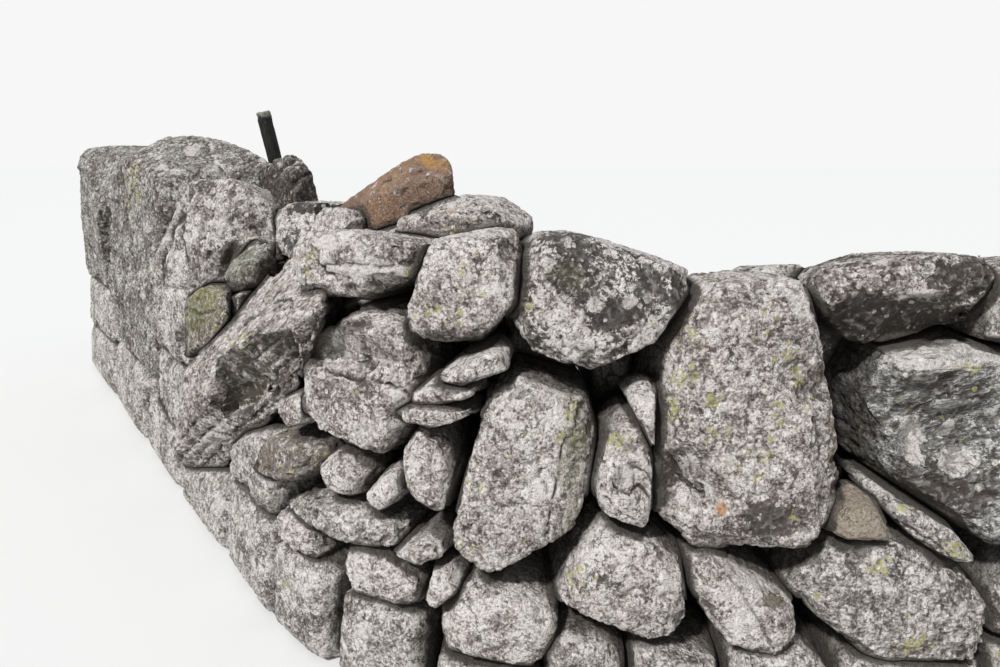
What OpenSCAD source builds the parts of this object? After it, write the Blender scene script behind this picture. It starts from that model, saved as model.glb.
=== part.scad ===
// A field wall of boulders laid without mortar. A near stretch runs along X, a rounded bend
// follows at its left-hand end, and a far stretch leads away from there.
// The origin is on the ground, at the middle of the wall's thickness, where the near stretch
// meets the bend. Millimetres, +Z up, the seen face looks along -Y.

/* [Wall] */
// Length of the near stretch, from the bend to its right-hand end
near_length = 1700; // [1400:10:2200]
// Length of the far stretch, from the bend to its left-hand end
far_length = 3500; // [2800:10:4200]
// Radius of the bend, at the middle of the wall's thickness
bend_radius = 600; // [520:10:900]
// Angle that the wall turns through at the bend
bend_angle = 53; // [40:1:65]
// Height of the crest along the near stretch
crest_height = 1300; // [1100:10:1500]
// Thickness of the wall at the ground
base_thickness = 760; // [680:10:860]
// Thickness of the wall at the crest
top_thickness = 500; // [420:10:600]

/* [Stones] */
// How far the middle of a stone stands out of the wall's face
bulge = 34; // [15:1:55]
// How far behind the wall's face a stone is widest
girth = 45; // [25:1:80]
// How much wider a stone is in the heart of the wall, where it presses on its neighbours
bed = 24; // [16:1:34]
// How far the corners of a stone stray from its drawn outline
rough = 8; // [0:1:14]
// Depth of the small stones that are wedged into the face
wedge_depth = 190; // [140:5:240]

/* [Stake] */
// Diameter of the stake that leans on the back of the wall
stake_diameter = 68; // [50:1:90]
// Length of the stake
stake_length = 1660; // [1600:10:1800]
// Lean of the stake towards the wall, from upright
stake_lean = 11; // [8:1:16]

/* [Hidden] */
// The outlines are drawn on the wall's face: along it, 0 where the bend ends, and up it.
// These are the lengths that they are drawn for, and the real sizes stretch them.
drawn_near = 1700;
drawn_bend = 555;
drawn_far = 3500;
drawn_crest = 1300;
// How much narrower a stone's crown, shoulder and tail are than its widest band
crown = 0.6;
shoulder = 0.9;
tail = 0.8;
// How far the shoulder stands out, as a share of the bulge
shoulder_out = 0.45;
// Where the stake leans on the wall, along it and at which height, and how deep it sits among the stones
stake_along = -1960;
stake_rest = 1300;
stake_nest = 34;
stake_fn = 32;

// The stones in the order in which they are laid. Each one is cut to sit on those before it.
ORDER = [
    "stake", "foot_a", "foot_c", "foot_e", "foot_h", "foot_b", "foot_d", "foot_f", "foot_g",
    "far_foot_a", "far_foot_c", "far_foot_e", "far_foot_b", "far_foot_d", "slab_bed", "near_bed",
    "end_bed",
    "bottom_left_boulder", "foundation_boulder", "round_foundation_boulder", "diagonal_stone",
    "end_low", "bend_low_a", "bend_low_b", "little_stone", "pale_stone", "light_grey_stone",
    "tall_stone", "down_pointing_stone", "great_boulder", "triangular_stone", "tan_wedge",
    "thin_diagonal_stone", "right_block", "end_middle", "brownish_stone", "small_dark_stone",
    "orange_spotted_stone", "back_low_a", "back_low_b", "back_low_c", "thin_slab_low", "bend_boulder",
    "thin_slab_high", "pinning_wedge", "small_brown_stone", "under_slab_stone", "leaning_slab",
    "sag_a", "sag_b",
    "sag_c", "sag_d",
    "back_middle_a", "back_middle_b", "back_low_d", "back_top_a", "back_top_b", "crest_capstone",
    "dark_crest_boulder", "right_capstone",
    "small_crest_stone", "end_capstone", "dark_back_stone", "cap_slab", "back_shelf", "grey_back_stone",
    "reddish_stone", "shoulder_far", "shoulder_near", "far_middle_boulder", "far_end_boulder",
    "back_boulder", "mossy_stone", "ledge_stone", "hollow_stone", "far_near_boulder", "dark_cluster"
];

// Half the wall's thickness at a height
function half(z) = (base_thickness - (base_thickness - top_thickness) * z / crest_height) / 2;
// Angle that the wall has turned through at a place along it
function turn(u) = bend_angle * min(max(-u / drawn_bend, 0), 1);
// The way out of the face
function out_of(u) = [-sin(turn(u)), -cos(turn(u))];
// The middle of the wall's thickness
function core(u) = u >= 0
    ? [near_length * u / drawn_near, 0]
    : [0, bend_radius] + bend_radius * out_of(u)
      + max(-u - drawn_bend, 0) * far_length / drawn_far * [-cos(turn(u)), sin(turn(u))];
function up(z) = z * crest_height / drawn_crest;
// A point of the wall: along, up, and out from the middle of its thickness
function at(u, z, out) = let (p = core(u) + out * out_of(u)) [p[0], p[1], up(z)];

function lowest(p, k) = min([for (q = p) q[k]]);
function highest(p, k) = max([for (q = p) q[k]]);
function middle(p) = [for (k = [0, 1]) (lowest(p, k) + highest(p, k)) / 2];
function widened(q, c, share, extra) = let (d = q - c) c + d * share + d * extra / norm(d);

// One band of a stone: its outline, narrowed or widened, at a distance out of the face.
// Its top is lowered by fall, in proportion to the height above the stone's foot
function band(p, share, extra, side, out, tip, fall, seed) =
    let (
        c = middle(p),
        foot = lowest(p, 1),
        tall = highest(p, 1) - foot,
        stray = rands(-rough, rough, 3 * len(p), seed)
    )
    [for (i = [0 : len(p) - 1])
        let (
            q = widened(p[i], c, share, extra) + tip,
            u = q[0] + stray[3 * i],
            z = q[1] - fall * (q[1] - foot) / tall + stray[3 * i + 1],
            on_ground = p[i][1] == 0 && share == 1
        )
        at(u, on_ground ? 0 : max(z, 0), side * (half(up(z)) + out) + (share < 1 ? stray[3 * i + 2] : 0))
    ];

module hull_of(points) {
    hull() polyhedron(points, [for (i = [0 : len(points) - 3]) [i, i + 1, i + 2]]);
}

// A stone that goes right through the wall, from one face to the other. Skew moves its far end,
// and front is how wide its foremost face is
module through_stone(p, tip = [0, 0], proud = bulge, fall = 0, skew = [0, 0], front = crown) {
    seed = abs(p[0][0]) + 3 * p[0][1];
    hull_of(concat(
        band(p, front, 0, 1, proud, tip, 0, seed),
        band(p, shoulder, 0, 1, proud * shoulder_out, tip / 2, 0, seed + 1),
        band(p, 1, 0, 1, -girth, [0, 0], fall * 0.2, seed + 2),
        band(p, 1, bed, 0, 0, skew / 2, fall * 0.55, seed + 3),
        band(p, 1, 0, -1, -girth, skew, fall, seed + 4),
        band(p, crown, 0, -1, bulge, skew, fall, seed + 5)
    ));
}

// A stone in one face of the wall only. Side is 1 for the seen face and -1 for the back
module face_stone(p, deep = wedge_depth, tip = [0, 0], proud = bulge, side = 1, fall = 0) {
    seed = abs(p[0][0]) + 3 * p[0][1] + 7 * side;
    hull_of(concat(
        band(p, crown, 0, side, proud, tip, 0, seed),
        band(p, shoulder, 0, side, proud * shoulder_out, tip / 2, 0, seed + 1),
        band(p, 1, 0, side, -girth, [0, 0], fall * 0.2, seed + 2),
        band(p, 1, bed / 2, side, -deep / 2, [0, 0], fall * 0.6, seed + 3),
        band(p, tail, 0, side, -deep, [0, 0], fall, seed + 4)
    ));
}

// A stone given by its corners: along, up, and out, where out is 1 at the seen face, 0 in the
// middle of the wall and -1 at the back
module free_stone(corners) hull_of([for (c = corners) at(c[0], c[1], c[2] * half(up(c[1])))]);

// A flake that frost has lifted off a stone. Its corners give the new face: along, up, and how
// far it stands out of the wall's face. Side is 1 for the seen face and -1 for the back
module flake(corners, side = 1)
    hull_of([for (thick = [0, 300], c = corners)
        at(c[0], c[1], side * (half(up(c[1])) + c[2] + thick))]);

// The footing, which stands on the ground
module foot_a() color("gray") through_stone([[-150, 0], [62, 0], [58, 125], [-30, 140],
    [-145, 150]]);
module foot_b() color("gray") through_stone([[70, 0], [292, 0], [286, 150], [225, 222],
    [110, 235], [72, 190]]);
module foot_c() color("gray") through_stone([[300, 0], [548, 0], [540, 148], [470, 165],
    [350, 205], [304, 190]]);
module foot_d() color("gray") through_stone([[558, 0], [850, 0], [848, 125], [752, 208],
    [700, 150], [562, 190]]);
module foot_e() color("gray") through_stone([[860, 0], [1262, 0], [1258, 135], [980, 135],
    [866, 165]]);
module foot_f() color("gray") through_stone([[1272, 0], [1690, 0], [1680, 180], [1500, 210],
    [1276, 190]]);
module foot_g() color("gray") through_stone([[-345, 0], [-160, 0], [-160, 255], [-240, 290],
    [-335, 270]]);
module foot_h() color("gray") through_stone([[-550, 0], [-355, 0], [-355, 290], [-430, 340],
    [-545, 310]]);

// The footing and the bedding boulders of the far stretch
module far_foot_a() color("dimgray") through_stone([[-558, 0], [-1010, 0], [-1005, 330],
    [-800, 400], [-565, 350]]);
module far_foot_b() color("gray") through_stone([[-1020, 0], [-1640, 0], [-1625, 170],
    [-1400, 145], [-1250, 190], [-1030, 320]]);
module far_foot_c() color("dimgray") through_stone([[-1650, 0], [-2290, 0], [-2270, 300],
    [-1960, 370], [-1665, 260]]);
module far_foot_d() color("gray") through_stone([[-2300, 0], [-3120, 0], [-3110, 380],
    [-2700, 430], [-2310, 340]]);
module far_foot_e() color("dimgray") through_stone([[-3130, 0], [-4040, 0], [-4000, 310],
    [-3600, 370], [-3140, 340]]);
module slab_bed() color("gray") through_stone([[-560, 340], [-1000, 330], [-975, 460],
    [-850, 550], [-700, 610], [-562, 640]]);
module near_bed() color("gray") through_stone([[-1575, 190], [-2050, 290], [-2040, 590],
    [-1800, 640], [-1600, 590]]);
module end_bed() color("gray") through_stone([[-3120, 320], [-4035, 290], [-4020, 640],
    [-3500, 700], [-3125, 650]]);

// The lowest stones that show
module bottom_left_boulder() color("lightgray")
    through_stone([[-138, 160], [-140, 270], [-103, 350], [-60, 373], [10, 346], [100, 303],
        [108, 235], [60, 130]]);
module foundation_boulder() color("silver")
    through_stone([[92, 335], [122, 420], [165, 492], [210, 532], [250, 533], [370, 490],
        [435, 436], [440, 372], [468, 262], [400, 213], [340, 208], [240, 250], [105, 308]],
        fall = 40);
module round_foundation_boulder() color("darkgray")
    through_stone([[722, 350], [750, 408], [818, 483], [900, 505], [967, 515], [1043, 503],
        [1110, 435], [1200, 392], [1245, 315], [1258, 200], [1230, 138], [975, 138], [870, 190],
        [785, 267]], fall = 40);
module diagonal_stone() color("rosybrown")
    through_stone([[437, 440], [478, 470], [520, 455], [650, 362], [738, 312], [742, 215],
        [700, 150], [550, 205], [482, 290], [440, 375]], fall = 30);
module end_low() color("gray") difference() {
    through_stone([[1268, 205], [1690, 195], [1685, 460], [1560, 505], [1330, 450], [1262, 330]],
        fall = -60);
    flake([[1560, 580, 34], [1720, 570, -60], [1720, 190, -90], [1610, 190, 34]], side = -1);
}
module bend_low_a() color("silver")
    through_stone([[-165, 270], [-325, 270], [-335, 400], [-290, 425], [-230, 415], [-168, 350]]);
module bend_low_b() color("silver")
    through_stone([[-395, 310], [-545, 310], [-540, 410], [-470, 450], [-405, 430]]);
module little_stone() color("silver")
    face_stone([[-163, 300], [-150, 410], [-118, 412], [-104, 380], [-106, 352], [-135, 290]]);
module pale_stone() color("gainsboro")
    face_stone([[-235, 420], [-205, 455], [-165, 480], [-135, 472], [-122, 445], [-160, 415]],
        deep = 260);
module light_grey_stone() color("lightgray")
    through_stone([[-530, 440], [-460, 500], [-390, 532], [-320, 546], [-250, 518], [-195, 505],
        [-205, 450], [-245, 420], [-320, 412], [-430, 415]]);

// The stones at half height
module tall_stone() color("lightgray") difference() {
    through_stone([[-118, 490], [-102, 590], [-68, 785], [-50, 885], [5, 940], [120, 900],
        [172, 885], [203, 780], [180, 620], [152, 512], [68, 492], [-25, 388], [-58, 380],
        [-108, 450]], tip = [-30, 0], fall = 90);
    flake([[131, 940, 33], [114, 780, 33], [89, 624, 33], [70, 495, 30], [210, 900, -15],
        [208, 754, -20], [192, 624, -20], [160, 495, -20]]);
}
module down_pointing_stone() color("silver")
    face_stone([[-205, 720], [-178, 795], [-147, 780], [-128, 715], [-106, 650], [-112, 597],
        [-130, 553], [-165, 563], [-196, 605], [-207, 668]], deep = 320);
module great_boulder() color("thistle") difference() {
    through_stone([[352, 560], [350, 800], [365, 1010], [400, 1105], [470, 1185], [580, 1205],
        [710, 1195], [760, 1060], [800, 900], [862, 650], [800, 500], [770, 452], [450, 448]],
        fall = 130);
    flake([[707, 1043, 32], [743, 882, 34], [765, 790, 34], [771, 700, 34], [762, 544, 30],
        [790, 930, -20], [845, 780, -30], [885, 680, -35], [890, 600, -35], [830, 500, -30]]);
    flake([[330, 715, -25], [432, 708, -20], [436, 619, -20], [330, 612, -25]]);
    flake([[420, 545, 30], [536, 506, 30], [640, 485, 30], [740, 475, 25], [425, 430, -40],
        [600, 430, -45], [780, 430, -45]]);
}
module triangular_stone() color("lightgray") difference() {
    face_stone([[185, 640], [192, 700], [218, 770], [270, 815], [298, 815], [325, 762], [348, 700],
        [348, 560], [340, 508], [278, 527], [210, 567]], deep = 300);
    flake([[231, 695, 18], [264, 650, 16], [345, 580, 14], [352, 700, 14], [300, 815, 20],
        [225, 775, 30]]);
}
module tan_wedge() color("tan")
    face_stone([[807, 545], [835, 575], [890, 592], [935, 585], [950, 545], [952, 510], [895, 498],
        [815, 498]]);
module thin_diagonal_stone() color("gray")
    face_stone([[930, 598], [957, 620], [1025, 592], [1120, 540], [1200, 435], [1170, 425],
        [1100, 452], [1000, 520]], deep = 300);
module right_block() color("dimgray") difference() {
    through_stone([[895, 880], [930, 995], [1000, 1018], [1130, 1018], [1250, 1000], [1330, 930],
        [1350, 700], [1320, 480], [1250, 450], [1035, 595], [950, 655], [920, 800]], fall = 60,
        front = 0.8);
    flake([[915, 945, 28], [1180, 950, 28], [1345, 925, 28], [915, 815, -12], [1006, 780, -14],
        [1047, 745, -16], [1192, 772, -14], [1350, 785, -14]]);
}
module end_middle() color("gray") difference() {
    through_stone([[1345, 480], [1690, 490], [1680, 900], [1500, 970], [1362, 930]], fall = 60);
    flake([[1560, 980, 34], [1720, 960, -80], [1720, 470, -40], [1640, 470, 34]]);
}
module brownish_stone() color("rosybrown")
    face_stone([[-735, 470], [-670, 590], [-550, 650], [-445, 668], [-385, 640], [-400, 590],
        [-460, 530], [-580, 470], [-710, 420]], deep = 330);
module small_dark_stone() color("gray")
    face_stone([[-385, 618], [-365, 655], [-337, 680], [-312, 655], [-288, 618], [-300, 560],
        [-365, 545]]);
module orange_spotted_stone() color("lightgray")
    face_stone([[-272, 575], [-262, 615], [-238, 645], [-214, 648], [-208, 605], [-240, 540],
        [-262, 540]]);
module thin_slab_low() color("lightgray")
    face_stone([[-225, 820], [-200, 848], [-150, 856], [-105, 850], [-65, 835], [-70, 822],
        [-110, 805], [-155, 788], [-205, 792]], deep = 300);
module thin_slab_high() color("lightgray")
    face_stone([[-200, 875], [-150, 900], [-100, 910], [-72, 895], [-75, 875], [-130, 855],
        [-195, 850]]);
module pinning_wedge() color("lightgray")
    face_stone([[-147, 915], [-105, 965], [-45, 1005], [-18, 990], [-12, 950], [-55, 925],
        [-105, 900]], deep = 280);
module small_brown_stone() color("rosybrown")
    face_stone([[270, 858], [298, 890], [348, 888], [350, 730], [328, 765], [300, 815]]);
module bend_boulder() color("silver") difference() {
    through_stone([[-425, 960], [-398, 1000], [-350, 1050], [-300, 1085], [-222, 1080],
        [-200, 1070], [-185, 970], [-170, 900], [-210, 757], [-250, 672], [-300, 680], [-395, 690],
        [-450, 760], [-455, 860]], fall = 30);
    flake([[-470, 925, 12], [-396, 922, 12], [-303, 918, 10], [-228, 908, 12], [-150, 905, 16],
        [-200, 1010, 34], [-300, 1040, 34], [-400, 1010, 34]]);
}
module under_slab_stone() color("silver")
    face_stone([[-537, 717], [-519, 768], [-464, 813], [-425, 812], [-400, 770], [-435, 715],
        [-484, 690]], deep = 260);
module leaning_slab() color("darkgray") difference() {
    free_stone([[-310, 1097, 1.4], [-371, 1057, 1.4], [-458, 999, 1.39], [-600, 911, 1.38],
        [-753, 838, 1.37], [-976, 756, 1.36], [-1225, 675, 1.36], [-1256, 590, 1.34],
        [-1270, 440, 1.3], [-1420, 297, 1.3], [-1580, 170, 1.12], [-385, 1010, 1.14],
        [-430, 880, 1], [-480, 790, 0.97], [-600, 680, 0.95], [-940, 470, 0.92], [-1310, 190, 0.89],
        [-1420, 150, 0.94], [-726, 1185, 0.43], [-994, 1058, 0.45], [-1177, 991, 0.46],
        [-1323, 906, 0.48], [-1444, 783, 0.5], [-1576, 696, 0.52], [-560, 1160, 0.4],
        [-700, 950, 0], [-1300, 600, 0.05], [-1400, 250, 0.3]]);
    flake([[-800, 815, 78], [-600, 895, 76], [-400, 1020, 70], [-480, 860, 10], [-590, 765, 15],
        [-780, 650, 10], [-930, 600, 25]]);
}
module sag_a() color("gray")
    face_stone([[-510, 640], [-960, 620], [-950, 880], [-650, 1010], [-510, 1040]], deep = 360,
        side = -1);
module sag_b() color("gray")
    face_stone([[-985, 300], [-1470, 230], [-1400, 560], [-1200, 640], [-985, 600]], deep = 360,
        side = -1);
module sag_d() color("gray")
    face_stone([[-985, 620], [-1180, 650], [-1180, 830], [-985, 860]], deep = 340, side = -1);
module sag_c() color("gray")
    free_stone([[-640, 1120, 0.3], [-660, 950, 0.3], [-1180, 850, 0.3], [-1230, 1040, 0.2],
        [-1000, 1110, 0.2], [-640, 1120, -0.9], [-650, 950, -1.05], [-1150, 850, -1.05],
        [-1180, 1060, -0.9], [-900, 1130, -0.5]]);

// The stones that fill the back at half height
module back_low_a() color("gray")
    face_stone([[-575, 400], [-740, 380], [-730, 640], [-580, 670], [-570, 520]], deep = 330,
        side = -1);
module back_low_b() color("gray")
    face_stone([[-220, 520], [-500, 470], [-490, 690], [-250, 690]], deep = 330, side = -1);
module back_low_c() color("gray")
    face_stone([[820, 470], [1200, 440], [1100, 520], [960, 630], [860, 600]], deep = 330,
        side = -1);
module back_middle_a() color("gray")
    face_stone([[-205, 560], [-120, 540], [-110, 700], [-75, 1010], [-180, 1010]], deep = 300,
        side = -1);
module back_middle_b() color("gray")
    face_stone([[195, 560], [345, 520], [350, 960], [290, 1010], [215, 960]], deep = 300,
        side = -1);
module back_low_d() color("gray")
    face_stone([[500, 480], [560, 410], [680, 340], [735, 330], [745, 440], [600, 500]], deep = 330,
        side = -1);
module back_top_a() color("gray")
    face_stone([[-68, 800], [180, 800], [190, 940], [90, 1000], [20, 1080], [-60, 1090]],
        deep = 330, side = -1);
module back_top_b() color("gray")
    face_stone([[830, 640], [970, 650], [925, 800], [900, 880], [940, 1020], [840, 1030],
        [800, 900]], deep = 330, side = -1);

// The crest
module crest_capstone() color("gainsboro")
    face_stone([[-205, 1080], [-180, 1200], [-160, 1275], [-60, 1300], [0, 1297], [8, 1240],
        [-5, 1110], [-50, 1090], [-62, 1015], [-110, 996], [-180, 1000], [-198, 1035]], deep = 360,
        fall = 60);
module dark_crest_boulder() color("dimgray")
    through_stone([[-22, 1065], [12, 1240], [55, 1288], [125, 1300], [355, 1228], [435, 1198],
        [425, 1145], [350, 1000], [250, 955], [190, 930], [100, 945], [30, 978]], fall = 90);
module right_capstone() color("gray") difference() {
    through_stone([[727, 1150], [755, 1200], [860, 1230], [1010, 1246], [1155, 1240], [1185, 1195],
        [1140, 1110], [1098, 1046], [960, 1032], [855, 992], [800, 1028], [742, 1100]], fall = 100,
        skew = [150, 0]);
    flake([[735, 1142, 36], [900, 1130, 36], [1012, 1108, 36], [1130, 1140, 34], [780, 1005, -45],
        [875, 980, -45], [960, 1030, -45], [1090, 1050, -45]]);
}
module small_crest_stone() color("silver")
    face_stone([[1160, 1140], [1150, 1090], [1160, 1020], [1270, 1000], [1300, 1100], [1270, 1180],
        [1200, 1190]], deep = 300);
module end_capstone() color("gray") difference() {
    through_stone([[1305, 940], [1675, 880], [1670, 1160], [1560, 1230], [1330, 1200],
        [1300, 1080]], fall = 60);
    flake([[1400, 1260, -10], [1480, 1050, 34], [1600, 900, 34], [1720, 900, -10],
        [1720, 1260, -150]]);
    flake([[1560, 1200, 10], [1720, 1180, -120], [1720, 880, -60], [1640, 860, 34]], side = -1);
}
module dark_back_stone() color("dimgray")
    free_stone([[640, 1020, -0.1], [655, 1130, -0.15], [760, 1160, -0.2], [870, 1155, -0.3],
        [890, 1040, -0.3], [640, 1000, -1], [680, 1120, -0.95], [850, 1125, -1], [880, 1000, -1]]);
module cap_slab() color("lightgray")
    face_stone([[-500, 1130], [-520, 1225], [-430, 1285], [-300, 1285], [-190, 1265], [-180, 1160],
        [-300, 1092], [-420, 1085], [-470, 1095]], deep = 360, fall = 60);
module back_shelf() color("gray")
    face_stone([[-640, 1000], [-640, 1220], [-450, 1250], [-150, 1240], [-130, 1000]], deep = 260,
        side = -1);
module grey_back_stone() color("gray")
    face_stone([[-400, 1190], [-390, 1285], [-200, 1345], [-60, 1340], [40, 1290], [40, 1120],
        [-200, 1130]], deep = 300, side = -1, proud = -20);
module reddish_stone() color("sienna")
    free_stone([[-880, 1240, -0.25], [-900, 1278, -0.3], [-755, 1338, -0.4], [-522, 1343, -0.18],
        [-427, 1367, -0.18], [-260, 1400, -0.18], [-205, 1420, -0.22], [-500, 1440, -0.5],
        [-380, 1468, -0.52], [-290, 1470, -0.5], [-235, 1440, -0.45], [-195, 1360, -0.22],
        [-225, 1262, -0.22], [-560, 1200, -0.2], [-880, 1240, -0.8], [-640, 1350, -0.85],
        [-450, 1440, -0.85], [-330, 1400, -0.9], [-300, 1280, -0.9], [-600, 1200, -0.9]]);
module shoulder_far() color("dimgray")
    free_stone([[-1300, 1230, 0], [-1198, 1266, 0], [-1054, 1290, 0], [-862, 1298, 0],
        [-835, 1206, 0.15], [-1010, 1200, 0.38], [-1028, 1159, 0.42], [-990, 1112, 0.42],
        [-870, 1100, 0.4], [-1180, 1090, 0.1], [-1260, 1200, 0], [-1200, 1275, -0.8],
        [-860, 1280, -0.8], [-850, 1060, -0.9], [-1180, 1050, -0.9]]);
module shoulder_near() color("silver")
    free_stone([[-570, 1262, 0.2], [-640, 1305, 0.1], [-800, 1290, 0.15], [-840, 1200, 0.25],
        [-700, 1110, 0.25], [-600, 1190, 0.3], [-660, 1262, -0.6], [-830, 1250, -0.6],
        [-660, 1060, -0.85], [-830, 1060, -0.85]]);

// The big boulders of the far stretch
module back_boulder() color("gray")
    face_stone([[-1190, 600], [-1200, 1080], [-1330, 1170], [-1600, 1190], [-1760, 1140],
        [-1765, 620]], deep = 330, side = -1);
module far_near_boulder() color("silver")
    free_stone([[-1900, 870, 1.4], [-1850, 940, 1.35], [-1650, 1100, 1.3], [-1600, 1180, 1.24],
        [-1580, 1235, 1.15], [-1560, 1340, 1], [-1555, 1357, 0.75], [-1760, 1330, 0.75],
        [-1310, 1372, 0.55], [-1330, 1353, 0.4], [-1334, 1314, 0.2], [-1215, 1241, 0],
        [-1150, 1076, 0.07], [-1380, 1250, 0.92], [-1310, 1100, 1], [-1360, 850, 1.08],
        [-1440, 640, 1.1], [-1860, 720, 1.27], [-2000, 600, 1.1], [-1500, 600, 1.1],
        [-1900, 1300, -0.2], [-1500, 1300, -0.3], [-1950, 620, -0.5], [-1350, 640, -0.4],
        [-1990, 1100, 0.5]]);
module far_middle_boulder() color("lightgray") difference() {
    free_stone([[-2530, 1415, 1.25], [-2750, 1334, 1.3], [-2800, 1232, 1.35], [-2950, 1080, 1.4],
        [-2880, 910, 1.38], [-2900, 420, 1.1], [-2080, 400, 1.08], [-2050, 1350, 0.95],
        [-2080, 900, 1.12], [-2600, 1466, 0.8], [-2520, 1525, 0.4], [-2420, 1534, 0],
        [-2250, 1514, -0.4], [-2250, 1476, -0.85], [-1980, 1427, -0.85], [-1790, 1405, -0.85],
        [-1790, 1100, -1.1], [-2000, 420, -1.08], [-2950, 420, -1.08], [-3050, 1000, -1.1],
        [-2950, 1400, -0.9], [-3080, 1000, 0.5], [-3060, 450, 0.5]]);
    flake([[-2620, 1270, 76], [-2200, 1380, 30], [-1950, 1150, 30], [-2100, 700, 36],
        [-2500, 620, 60], [-2850, 800, 92], [-2350, 1050, 35], [-2450, 900, 42]]);
    flake([[-2720, 1190, 75], [-2960, 1080, 60], [-3050, 900, 20], [-2900, 700, 55],
        [-2780, 950, 85]]);
    flake([[-2880, 640, 60], [-2600, 700, 58], [-2300, 640, 46], [-2350, 450, 36], [-2800, 440, 36],
        [-2600, 560, 35]]);
    flake([[-2850, 1150, 16], [-2400, 1200, 16], [-2000, 1150, 18], [-2050, 700, 26],
        [-2800, 650, 26], [-2450, 900, 0]], side = -1);
}
module far_end_boulder() color("gray") difference() {
    free_stone([[-3600, 1420, 1.42], [-3660, 1336, 1.47], [-3500, 1255, 1.45], [-3400, 1180, 1.4],
        [-3150, 1090, 1.35], [-3200, 660, 1.1], [-3980, 640, 1.1], [-3740, 1458, 1.15],
        [-3440, 1480, 0.8], [-3400, 1474, 0.35], [-3600, 1474, -0.3], [-3900, 1440, -0.5],
        [-3120, 1390, -0.9], [-3980, 1350, -0.85], [-3130, 660, -1.08], [-4000, 650, -1.08],
        [-4045, 1100, 0.8], [-4045, 1050, -0.7], [-3090, 1380, 0.7]]);
    flake([[-3780, 1320, 95], [-3420, 1350, 85], [-3250, 1150, 85], [-3350, 920, 74],
        [-3750, 900, 68], [-3520, 1120, 70]]);
    flake([[-3850, 860, 60], [-3250, 880, 62], [-3230, 700, 38], [-3900, 700, 40],
        [-3600, 790, 28]]);
    flake([[-3900, 1000, 0], [-3200, 1000, 0], [-3250, 720, 20], [-3900, 720, 20],
        [-3550, 880, -18]], side = -1);
}
module hollow_stone() color("silver")
    free_stone([[-1250, 990, 0.8], [-1160, 1085, 0.8], [-1010, 1085, 0.76], [-1000, 1020, 0.8],
        [-1130, 950, 0.8], [-1380, 1040, 0.35], [-1270, 1140, 0.35], [-1080, 1150, 0.3],
        [-1050, 980, 0.3], [-1300, 930, 0.4], [-1120, 1030, 0.94], [-1200, 1020, 0.9]]);
module mossy_stone() color("olive")
    free_stone([[-1310, 730, 1.2], [-1500, 650, 1.08], [-1450, 900, 1.15], [-1240, 985, 1.14],
        [-990, 1000, 1.05], [-955, 925, 1.08], [-1100, 790, 1.2], [-1250, 860, 1.24],
        [-1480, 660, 0.5], [-1450, 960, 0.55], [-1330, 950, 0.55], [-1330, 760, 0.5]]);
module ledge_stone() color("lightgray")
    free_stone([[-1160, 850, 1], [-1150, 935, 1], [-1000, 990, 0.9], [-1000, 900, 0.95],
        [-1320, 880, 0.45], [-1270, 960, 0.45], [-1100, 980, 0.4], [-1120, 860, 0.4]]);
module dark_cluster() color("dimgray")
    free_stone([[-1440, 1170, -0.5], [-1430, 1300, -0.55], [-1480, 1400, -0.6],
        [-1560, 1446, -0.65], [-1680, 1430, -0.65], [-1780, 1385, -0.6], [-1790, 1170, -0.5],
        [-1460, 1170, -1.05], [-1480, 1390, -1], [-1600, 1440, -1], [-1740, 1380, -1],
        [-1760, 1170, -1.05], [-1910, 1355, -0.6], [-1930, 1240, -0.5], [-1900, 1350, -1]]);

// The stake, which stands on the ground behind the wall and leans on its back
module stake() color("saddlebrown") {
    behind = half(up(stake_rest)) + bulge + stake_diameter / 2 - stake_nest;
    rest = core(stake_along) - behind * out_of(stake_along);
    difference() {
        translate([rest[0], rest[1], up(stake_rest)])
            rotate([0, 0, -turn(stake_along)])
            rotate([stake_lean, 0, 0])
            translate([0, 0, -up(stake_rest) / cos(stake_lean) - stake_diameter])
            cylinder(d = stake_diameter, h = stake_length + stake_diameter, $fn = stake_fn);
        translate([-stake_length * 2, -stake_length, -stake_length])
            cube([stake_length * 4, stake_length * 4, stake_length]);
    }
}

// One stone of the wall, cut to sit on the stones that were laid before it
module lay(i) {
    difference() {
        children(i);
        if (i > 0) children([0 : 1 : i - 1]);
    }
}

module laid(name) {
    lay(search([name], ORDER)[0]) {
        stake();
        foot_a();
        foot_c();
        foot_e();
        foot_h();
        foot_b();
        foot_d();
        foot_f();
        foot_g();
        far_foot_a();
        far_foot_c();
        far_foot_e();
        far_foot_b();
        far_foot_d();
        slab_bed();
        near_bed();
        end_bed();
        bottom_left_boulder();
        foundation_boulder();
        round_foundation_boulder();
        diagonal_stone();
        end_low();
        bend_low_a();
        bend_low_b();
        little_stone();
        pale_stone();
        light_grey_stone();
        tall_stone();
        down_pointing_stone();
        great_boulder();
        triangular_stone();
        tan_wedge();
        thin_diagonal_stone();
        right_block();
        end_middle();
        brownish_stone();
        small_dark_stone();
        orange_spotted_stone();
        back_low_a();
        back_low_b();
        back_low_c();
        thin_slab_low();
        bend_boulder();
        thin_slab_high();
        pinning_wedge();
        small_brown_stone();
        under_slab_stone();
        leaning_slab();
        sag_a();
        sag_b();
        sag_c();
        sag_d();
        back_middle_a();
        back_middle_b();
        back_low_d();
        back_top_a();
        back_top_b();
        crest_capstone();
        dark_crest_boulder();
        right_capstone();
        small_crest_stone();
        end_capstone();
        dark_back_stone();
        cap_slab();
        back_shelf();
        grey_back_stone();
        reddish_stone();
        shoulder_far();
        shoulder_near();
        far_middle_boulder();
        far_end_boulder();
        back_boulder();
        mossy_stone();
        ledge_stone();
        hollow_stone();
        far_near_boulder();
        dark_cluster();
    }
}

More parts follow.
